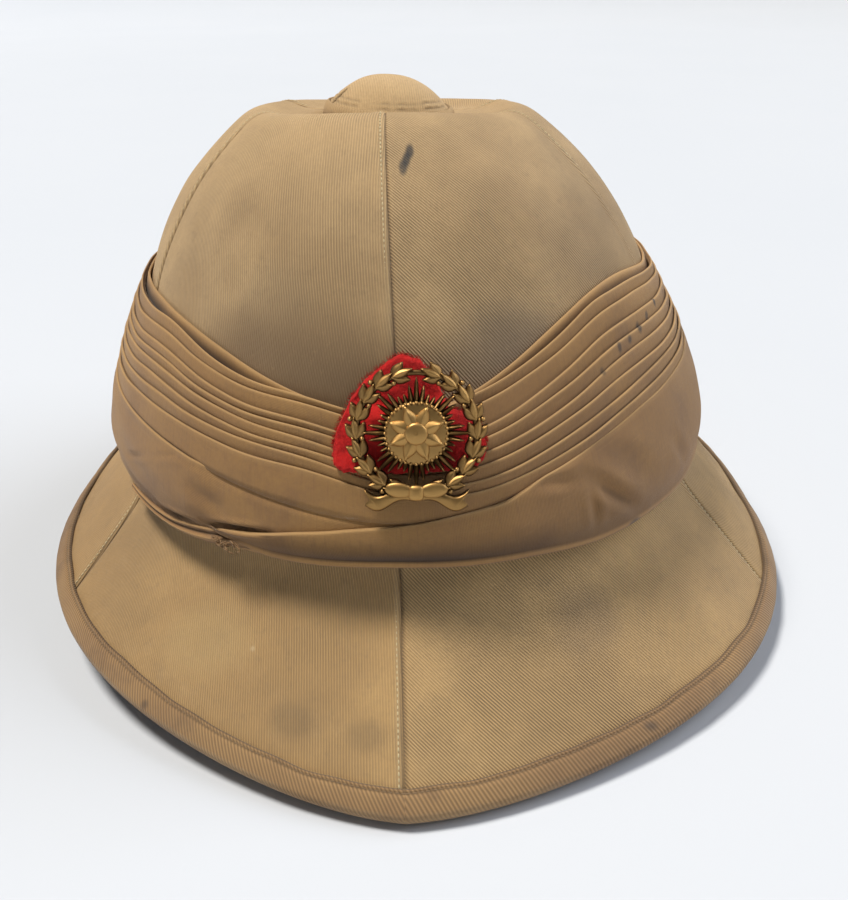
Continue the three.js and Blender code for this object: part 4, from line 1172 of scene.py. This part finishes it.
def seat_piece():
    """The cloth ring round the vent hole, which has come away from the cap at the left."""
    turns = np.linspace(0, 2 * math.pi, 200, endpoint=False)[:, None]
    foot = np.minimum(cover_below(VENT_SEAT["foot"], turns) - 0.3, -0.8)
    loose = np.exp(-((degrees(turns) + 78) / 20) ** 2)
    lip = 0.1 + 0.4 * loose
    out = -0.3 * loose
    profile = (
        (TUBE["inner"], TUBE["bottom"], 0, 0), (TUBE["outer"], TUBE["bottom"], 0, 0),
        (TUBE["outer"], -2.6, 0, 0), (VENT_SEAT["foot"] - 2, foot - 0.4, 0, 0),
        (VENT_SEAT["foot"], foot, 0, 0), (VENT_SEAT["foot"] - 0.5, mix(foot, -0.3, 0.6), 0.1, 0.1),
        (VENT_SEAT["outer"] + 0.5, -0.3, 0.5, 0.6), (VENT_SEAT["outer"], -0.1, 0.9, 1),
        (VENT_SEAT["inner"] + 0.5, 0.1, 1, 1), (VENT_SEAT["inner"] + 0.1, 0, 0.95, 1),
        (VENT_SEAT["inner"], -0.4, 0.4, 0.7), (TUBE["outer"] + 1, -0.3, 0, 0),
        (TUBE["outer"], 0.3, 0, 0), (TUBE["outer"], TUBE["top"], 0, 0), (TUBE["inner"], TUBE["top"], 0, 0))
    loops = np.stack([vent_points(radius + out * outward, height + lip * raised, turns)[:, 0]
                      for radius, height, raised, outward in profile], 1)
    # Painted shade on the seat's inner lip under the cap's edge and at its foot.
    painted_shade_and_grime = np.zeros(loops.shape[:2])
    painted_shade_and_grime[:, 9:11] = 0.55
    painted_shade_and_grime[:, 3:5] = 0.15
    ring_piece("vent_seat", loops, VENT_CLOTH, ("ventilator_seat",), {"painted_shade_and_grime": painted_shade_and_grime, "wear_and_painted_light": 0 * painted_shade_and_grime})


def cap_piece():
    radius, rise, base = VENT["radius"], VENT["rise"], VENT["base"]
    turns = np.linspace(-math.pi, math.pi, 420, endpoint=False)[:, None]
    shares = np.linspace(0.02, 1, 60)[None, :]
    reach = radius * shares + 0 * turns
    height = base + rise * (1 - shares ** 2.5) + 0 * turns
    patchy = 0.5 + 0.5 * wander(turns, 17, (3, 7, 13, 23), 0.1)
    wrinkle = np.sin(2 * math.pi * 5.5 * shares ** 3 + 1.2 * patchy) * smooth((shares - 0.75) / 0.15) * patchy
    crack = np.exp(-((shares * radius * np.cos(turns) + 2.5) / 0.5) ** 2) * np.exp(-((reach * np.sin(turns) - 1) / 4) ** 2)
    aside = reach * (turns + math.radians(72))
    slit = np.exp(-(aside / mix(0.25, 1.1, np.sin(math.pi * np.clip((shares - 0.7) / 0.34, 0, 1)))) ** 4)
    slit = slit * smooth((shares - 0.7) / 0.06)
    height = height + 0.22 * grain(vent_points(reach, height, turns), 9, 3) - 0.5 * crack - 1.1 * slit
    outer = vent_points(reach + 0.22 * wrinkle - 0.6 * slit, height, turns)
    rows_in = shares.shape[1]
    skirt = [vent_points(radius - 0.5 + 0 * turns, base - 0.4 + 0 * turns, turns)]
    inner_lip = [vent_points(radius - 1.8 + 0 * turns, base - 0.9 + 0 * turns, turns)]
    under = [vent_points(r + 0 * turns, base - 2.4 + rise * (1 - (r / radius) ** 2.5) + 0 * turns, turns)
             for r in (radius * 0.9, radius * 0.6, radius * 0.3, radius * 0.02)]
    loops = np.concatenate([outer, *skirt, *inner_lip, *under], 1)
    columns, rows = loops.shape[:2]
    faces, _ = grid_faces(columns, rows, True, False)
    caps = [tuple(k * rows for k in range(columns)), tuple(k * rows + rows - 1 for k in reversed(range(columns)))]
    flat = loops[..., :2].reshape(-1, 2)
    uv = np.concatenate([flat[np.array(faces).ravel()], flat[list(caps[0])], flat[list(caps[1])]])
    # Painted shade in the wrinkles' troughs, in the crack and inside the loose slit.
    painted_shade_and_grime = np.zeros((columns, rows))
    painted_shade_and_grime[:, :rows_in] = np.clip(-0.6 * wrinkle, 0, 0.45) + 0.85 * crack + 1.2 * slit
    wear_and_painted_light = np.zeros((columns, rows))
    wear_and_painted_light[:, :rows_in] = 1.0 - 0.4 * smooth((shares - 0.5) / 0.5)
    piece = add_piece("vent_cap", loops, [*faces.tolist(), *caps], VENT_CLOTH, ("ventilator_cap",), uv,
                      {"painted_shade_and_grime": painted_shade_and_grime, "wear_and_painted_light": wear_and_painted_light})
    face_out(piece)


seat_piece()
cap_piece()

# The felt behind the badge
FELT_PAD = {"x": -1, "lift": 2.2, "thick": 1.5, "clear": 0.7}
# Its outline: two round lobes, the left one taller, as reach up and down at places across
FELT_OUTLINE = {
    "across": (-21.9, -21.3, -19.4, -18.1, -15.3, -11.8, -6.3, -2.2, 2.7, 7.1, 8.9, 10.4, 13.7, 16.7, 18.6, 19.6),
    "up": (-6.5, -2.5, 2.4, 6.4, 9.6, 13.1, 16.7, 18.2, 16.4, 12.0, 7.8, 3.0, 2.0, 0.9, -1.8, -6.5),
    "down": (-9, -12.0, -13.4, -13.9, -13.9, -13.9, -13.8, -13.8, -13.8, -13.7, -13.6, -13.5, -13.2, -12.7, -11.4, -8.5),
}
FRONT_HALF_WIDTH = 100


def felt_piece():
    columns, rows = 130, 80
    swings = np.linspace(-math.pi / 2, math.pi / 2, columns)
    ends = FELT_OUTLINE["across"]
    across = mix(ends[0], ends[-1], 0.5 + 0.5 * np.sin(swings))
    ragged = 0.28 * wander(swings * 2, 23, (7, 11, 19, 31), 0.1)
    up = np.interp(across, ends, FELT_OUTLINE["up"]) + ragged
    down = np.interp(across, ends, FELT_OUTLINE["down"]) - ragged
    line = 0.5 + 0.5 * np.sin(np.linspace(math.pi / 2, -math.pi / 2, rows))
    lift = mix(down[:, None], up[:, None], line[None, :])
    heights = BADGE["z"] + (lift + FELT_PAD["lift"]) * math.cos(BADGE["tilt"])
    sideways = BADGE["x"] + FELT_PAD["x"] + across[:, None] - LEAN * heights
    angles = np.arcsin(sideways / FRONT_HALF_WIDTH)
    top = band_height("top", angles)
    shares = (top - heights) / (top - band_height("bottom", angles))
    over = np.where(shares < 0, mix(CLEAR, bulge(0.0), smooth(1 + shares / 0.12)), bulge(shares))
    row = rows_at(heights.ravel()[:, None], angles.ravel())[:, 0].reshape(heights.shape)
    from_edge = np.minimum(np.minimum(up[:, None] - lift, lift - down[:, None]),
                           np.minimum(across - ends[0], ends[-1] - across)[:, None])
    rounding = FELT_PAD["thick"] * (1 - np.sqrt(np.clip(from_edge / 1.3, 0.02, 1))) * 0.8
    base = over + FELT_PAD["clear"]
    under = off_body(row, angles, base)
    fuzz = 0.2 * grain(under, 1.1, 5) + 0.3 * grain(under, 5, 6)
    outer = off_body(row, angles, base + FELT_PAD["thick"] - rounding + fuzz)
    felt = wall_piece("felt_pad", outer, under, FELT, ("badge_backing",))
    fluff = felt_fluff(outer)


def felt_fluff(outer):
    """Short wool fibres that stand out from the felt and along its edge."""
    dice = np.random.default_rng(5)
    columns, rows = outer.shape[:2]
    points, faces = [], []
    middle = outer.reshape(-1, 3).mean(0)
    out = np.array([0, -math.cos(BADGE["tilt"]), math.sin(BADGE["tilt"])])
    for _ in range(1500):
        edge = dice.random() < 0.5
        column = int(dice.integers(0, columns))
        row = int(dice.integers(0, 3)) if edge else int(dice.integers(0, rows))
        start = outer[column, row]
        away = unit(start - middle) * (0.8 if edge else 0.0)
        heading = unit(away + out * dice.uniform(0.1, 0.7) + dice.normal(0, 0.45, 3))
        bend = dice.normal(0, 0.3, 3)
        steps = np.linspace(0, 1, 4)[:, None]
        length = dice.uniform(0.5, 1.2)
        path = start - out * 0.15 + heading * length * steps + bend * steps ** 2 * length * 0.5
        thread_points, thread_faces = tube(path, 0.045, 3)
        first = len(points)
        points += thread_points.tolist()
        faces += [tuple(first + k for k in face) for face in thread_faces]
    return add_piece("felt_fluff", np.array(points), faces, FELT)


felt_piece()

# The badge: a laurel wreath round an eight-pointed star with a rosette, and a plain ribbon below
WREATH = {"radius": 16.3, "band": 1.5, "depth": 0.9, "pairs": 9, "start": math.radians(-78), "end": math.radians(66)}
LEAF = {"length": 6.2, "width": 3.1, "height": 1.7, "splay": math.radians(31)}
STAR = {"points": 8, "tip": 15.4, "root": 6.5, "top": 2.0}
ROSETTE = {"petals": 8, "length": 8.0, "width": 4.3, "height": 1.3, "z": 1.3}
RIBBON = {"y": -17.0, "knot": 4.6, "thick": 1.2, "z": 0.5}


class Relief:
    """Collects the badge's flat parts: x to the right, y up and z outwards."""

    def __init__(self):
        self.points = []
        self.faces = []

    def add(self, points, faces):
        first = len(self.points)
        self.points += [tuple(point) for point in points]
        self.faces += [tuple(first + int(k) for k in face) for face in faces]

    def dome(self, outline, spine, height, base=0.0, steps=5, power=0.6):
        """A closed pillow over an outline: each outline point has its own point on a spine."""
        outline, spine = np.array(outline, float), np.array(spine, float)
        count = len(outline)
        rings = []
        for step in range(steps + 1):
            share = step / steps
            flat = mix(outline, spine, share ** 1.3)
            rise = base + height * share ** power
            rings.append(np.column_stack([flat, np.full(count, rise)]))
        floor = np.column_stack([outline, np.full(count, base - 0.9)])
        points = np.concatenate([floor, *rings])
        faces = []
        for ring in range(steps + 1):
            for k in range(count):
                after = (k + 1) % count
                faces.append((ring * count + k, ring * count + after, (ring + 1) * count + after,
                              (ring + 1) * count + k))
        faces.append(tuple(reversed(range(count))))
        faces.append(tuple((steps + 1) * count + k for k in range(count)))
        self.add(points, faces)


def turned(points, turn, x=0.0, y=0.0):
    cos, sin = math.cos(turn), math.sin(turn)
    return [(px * cos - py * sin + x, px * sin + py * cos + y) for px, py in points]


def leaf_outline(length, width, count=9):
    side = [(length * t, 0.5 * width * math.sin(math.pi * t ** 0.8) ** 0.9) for t in np.linspace(0, 1, count)]
    outline = side + [(x, -y) for x, y in reversed(side[1:-1])]
    spine = [(mix(0.1 * length, x, 0.92), 0.06 * y) for x, y in outline]
    return outline, spine


def badge_piece():
    relief = Relief()
    band = [(t, WREATH["radius"]) for t in np.linspace(0, 2 * math.pi, 96, endpoint=False)]
    section = ((-0.75, -0.5), (-0.75, 0.5), (-0.45, 0.85), (0, 0.98), (0.45, 0.85), (0.75, 0.5), (0.75, -0.5))
    points = [((r + dr) * math.cos(t), (r + dr) * math.sin(t), dz) for t, r in band for dr, dz in section]
    faces, _ = grid_faces(len(band), len(section), True, True)
    relief.add(points, faces)
    for pair in range(WREATH["pairs"]):
        for side in (-1, 1):
            rise = mix(WREATH["start"], WREATH["end"], pair / (WREATH["pairs"] - 1))
            around = rise if side > 0 else math.pi - rise
            along = around + side * math.pi / 2
            x, y = WREATH["radius"] * math.cos(around), WREATH["radius"] * math.sin(around)
            for splay in (-LEAF["splay"], 0.0, LEAF["splay"]):
                long = LEAF["length"] * (0.85 if splay else 1.0)
                outline, spine = leaf_outline(long, LEAF["width"] * (1.0 if splay else 0.8))
                lift = 0.35 if splay else 0.75
                relief.dome(turned(outline, along + splay, x, y), turned(spine, along + splay, x, y),
                            LEAF["height"] * 0.75, lift)
            berry = [(0.75 * math.cos(t), 0.75 * math.sin(t)) for t in np.linspace(0, 2 * math.pi, 10, endpoint=False)]
            bx, by = (x * 1.12, y * 1.12) if pair % 2 else (x * 0.9, y * 0.9)
            relief.dome(turned(berry, 0, bx, by), [(bx, by)] * 10, 0.8, 1.0, 3, 0.45)
    for point in range(STAR["points"]):
        turn = (point + 0.0) / STAR["points"] * 2 * math.pi
        half = math.pi / STAR["points"]
        for reach, spread in ((1.0, 0.0), (0.86, -0.4), (0.86, 0.4), (0.72, -0.8), (0.72, 0.8)):
            tip = STAR["tip"] * reach
            root = STAR["root"]
            wide = 0.72
            outline = [(root, -wide), (mix(root, tip, 0.45), -wide * 1.05), (mix(root, tip, 0.8), -wide * 0.7), (tip, 0),
                       (mix(root, tip, 0.8), wide * 0.7), (mix(root, tip, 0.45), wide * 1.05), (root, wide)]
            spine = [(mix(root + 0.5, px, 0.93), 0) for px, _ in outline]
            aim = turn + spread * half
            height = STAR["top"] * (0.62 - 0.1 * abs(spread))
            relief.dome(turned(outline, aim), turned(spine, aim), height, 0.3, 3, 0.7)
    disc = np.linspace(0, 2 * math.pi, 40, endpoint=False)
    relief.dome([(8.6 * math.cos(t), 8.6 * math.sin(t)) for t in disc],
                [(7.4 * math.cos(t), 7.4 * math.sin(t)) for t in disc], 1.0, 1.0, 4, 0.4)
    bead = [(0.5 * math.cos(t), 0.5 * math.sin(t)) for t in np.linspace(0, 2 * math.pi, 8, endpoint=False)]
    for turn in np.linspace(0, 2 * math.pi, 36, endpoint=False):
        bx, by = 8.3 * math.cos(turn), 8.3 * math.sin(turn)
        relief.dome(turned(bead, 0, bx, by), [(bx, by)] * 8, 0.55, 1.7, 3, 0.45)
    for petal in range(ROSETTE["petals"]):
        turn = (petal + 0.5) / ROSETTE["petals"] * 2 * math.pi
        outline, spine = leaf_outline(ROSETTE["length"], ROSETTE["width"])
        relief.dome(turned(outline, turn), turned(spine, turn), ROSETTE["height"], ROSETTE["z"] + 0.5, 5, 0.7)
    relief.dome([(3.1 * math.cos(t), 3.1 * math.sin(t)) for t in disc], [(0, 0)] * 40, 1.1, 2.9, 6, 0.45)
    ribbon_parts(relief)
    bend_and_add(relief)


def ribbon_parts(relief):
    y = RIBBON["y"]
    for side in (-1, 1):
        steps = np.linspace(0, 1, 22)
        upper = [(side * mix(0.5, 14.2, t), y + 1.3 + 1.2 * math.sin(2.1 * math.pi * t) * (0.4 + t)) for t in steps]
        lower = [(px - side * 0.3, py - mix(2.8, 4.8, t)) for (px, py), t in zip(upper, steps)]
        outline = upper + [(side * 12.6, y - 1.1)] + lower[::-1]
        centre = [(side * mix(0.9, 13.2, t), y + 1.2 * math.sin(2.1 * math.pi * t) * (0.4 + t) - mix(0.1, 1.1, t))
                  for t in steps]
        pairs = centre + [(side * 12.2, y - 1.1)] + centre[::-1]
        spine = [(mix(ox, cx, 0.35), mix(oy, cy, 0.35)) for (ox, oy), (cx, cy) in zip(outline, pairs)]
        relief.dome(outline, spine, RIBBON["thick"], RIBBON["z"], 3, 0.5)
        loop = np.linspace(0, 2 * math.pi, 26, endpoint=False)
        bow = [(side * (4.6 + 4.0 * math.cos(t)), y + 1.6 + 2.2 * math.sin(t) + 0.35 * math.cos(t)) for t in loop]
        spine = [(side * (4.6 + 2.6 * math.cos(t)), y + 1.6 + 1.0 * math.sin(t)) for t in loop]
        relief.dome(bow, spine, 1.0, 1.3, 4, 0.45)
    turns = np.linspace(0, 2 * math.pi, 24, endpoint=False)
    knot = [(2.1 * math.copysign(abs(math.cos(t)) ** 0.6, math.cos(t)),
             y + 0.9 + 2.2 * math.copysign(abs(math.sin(t)) ** 0.6, math.sin(t))) for t in turns]
    relief.dome(knot, [(0.35 * px, y + 0.9 + 0.4 * (py - y - 0.9)) for px, py in knot], 1.3, 1.6, 5, 0.4)


def bend_and_add(relief):
    """Curves the flat badge to the band and sets it where the frame's badge stands."""
    flat = np.array(relief.points)
    around = flat[:, 0] / BADGE["curve"]
    radius = BADGE["curve"] + flat[:, 2]
    bent = np.column_stack([radius * np.sin(around), flat[:, 1], radius * np.cos(around) - BADGE["curve"]])
    low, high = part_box("badge")
    tilt = BADGE["tilt"]
    out = np.array([0, -math.cos(tilt), math.sin(tilt)])
    up = np.array([0, math.sin(tilt), math.cos(tilt)])
    right = np.array([1.0, 0, 0])
    turned_points = bent[:, :1] * right + bent[:, 1:2] * up + bent[:, 2:] * out
    place = np.array([(low[k] + high[k]) / 2 / MM for k in range(3)]) - SHIFT
    middle = (turned_points.min(0) + turned_points.max(0)) / 2
    shift = place - middle
    shift[0] = BADGE["x"]
    spread = (flat[:, 2] - flat[:, 2].min()) / np.ptp(flat[:, 2])
    piece = add_piece("badge_relief", turned_points + shift, relief.faces, BRASS, ("badge",),
                      attributes={"relief": spread})
    face_out(piece)


badge_piece()

# The stage: floor, light and camera
FOCAL = 1000
CAMERA = {"x": 8.279, "y": -357.248, "z": 211.3, "pitch": math.radians(26.805), "yaw": math.radians(-0.886),
          "roll": math.radians(-0.299)}
SENSOR = 36
PHOTO_HEIGHT = 900
# The backdrop's floor radius and the radius of its bend, in metres
STAGE = {"floor": 3.0, "bend": 1.6}


def stage_material():
    nodes = Nodes("pale_floor")
    tone = nodes.blend(nodes.noise(3, 3), (0.54, 0.565, 0.6), (0.565, 0.585, 0.615))
    return nodes.finish(tone, 0.75)


def add_stage():
    """A round pale floor that curves up into a backdrop far behind the helmet."""
    sides = 64
    profile = [(STAGE["floor"] * 0.9, 0.0), (STAGE["floor"], 0.0)]
    for turn in np.linspace(0, math.pi / 2, 9)[1:]:
        profile.append((STAGE["floor"] + STAGE["bend"] * math.sin(turn), STAGE["bend"] * (1 - math.cos(turn))))
    turns = np.linspace(0, 2 * math.pi, sides, endpoint=False)
    corners = [(reach * math.cos(turn), reach * math.sin(turn), height)
               for turn in turns for reach, height in profile]
    corners.append((0.0, 0.0, 0.0))
    faces, _ = grid_faces(sides, len(profile), True, False)
    spokes = [(k * len(profile), (k + 1) % sides * len(profile), len(corners) - 1) for k in range(sides)]
    mesh = bpy.data.meshes.new("floor")
    mesh.from_pydata(corners, [], [*faces.tolist(), *spokes])
    mesh.polygons.foreach_set("use_smooth", np.ones(len(mesh.polygons), bool))
    floor = bpy.data.objects.new("floor", mesh)
    face_out(floor)
    floor.data.materials.append(stage_material())
    bpy.context.scene.collection.objects.link(floor)


def add_sun(name, place, spread, strength, colour):
    lamp = bpy.data.lights.new(name, "SUN")
    lamp.angle = math.radians(spread)
    lamp.energy = strength
    lamp.color = colour
    light = bpy.data.objects.new(name, lamp)
    light.location = place
    light.rotation_euler = (-Vector(place)).to_track_quat("-Z", "Y").to_euler()
    bpy.context.scene.collection.objects.link(light)


def add_world():
    world = bpy.data.worlds.new("studio")
    world.use_nodes = True
    background = world.node_tree.nodes["Background"]
    background.inputs["Color"].default_value = (0.86, 0.92, 1.0, 1)
    background.inputs["Strength"].default_value = 0.1
    bpy.context.scene.world = world


def add_camera():
    pitch, yaw, roll = CAMERA["pitch"], CAMERA["yaw"], CAMERA["roll"]
    forward = Vector((math.sin(yaw) * math.cos(pitch), math.cos(yaw) * math.cos(pitch), -math.sin(pitch)))
    right = Vector((math.cos(yaw), -math.sin(yaw), 0))
    up = right.cross(forward)
    leaned_right = right * math.cos(roll) + up * math.sin(roll)
    leaned_up = up * math.cos(roll) - right * math.sin(roll)
    data = bpy.data.cameras.new("camera")
    data.sensor_width = SENSOR
    data.sensor_height = SENSOR
    data.sensor_fit = "AUTO"
    data.lens = FOCAL * SENSOR / PHOTO_HEIGHT
    data.clip_start = 0.01
    camera = bpy.data.objects.new("camera", data)
    place = (np.array([CAMERA["x"], CAMERA["y"], CAMERA["z"]]) + SHIFT) * MM
    turn = Matrix((leaned_right, leaned_up, -forward)).transposed().to_4x4()
    camera.matrix_world = Matrix.Translation(Vector(place)) @ turn
    bpy.context.scene.collection.objects.link(camera)
    bpy.context.scene.camera = camera


add_stage()
add_sun("window", (-0.37, 0.1, 0.93), 16, 3.85, (1.0, 0.96, 0.9))
add_sun("room", (0.76, 0.14, 0.6), 46, 1.95, (0.86, 0.91, 1.0))
add_world()
add_camera()
bpy.context.scene.view_settings.view_transform = "Standard"
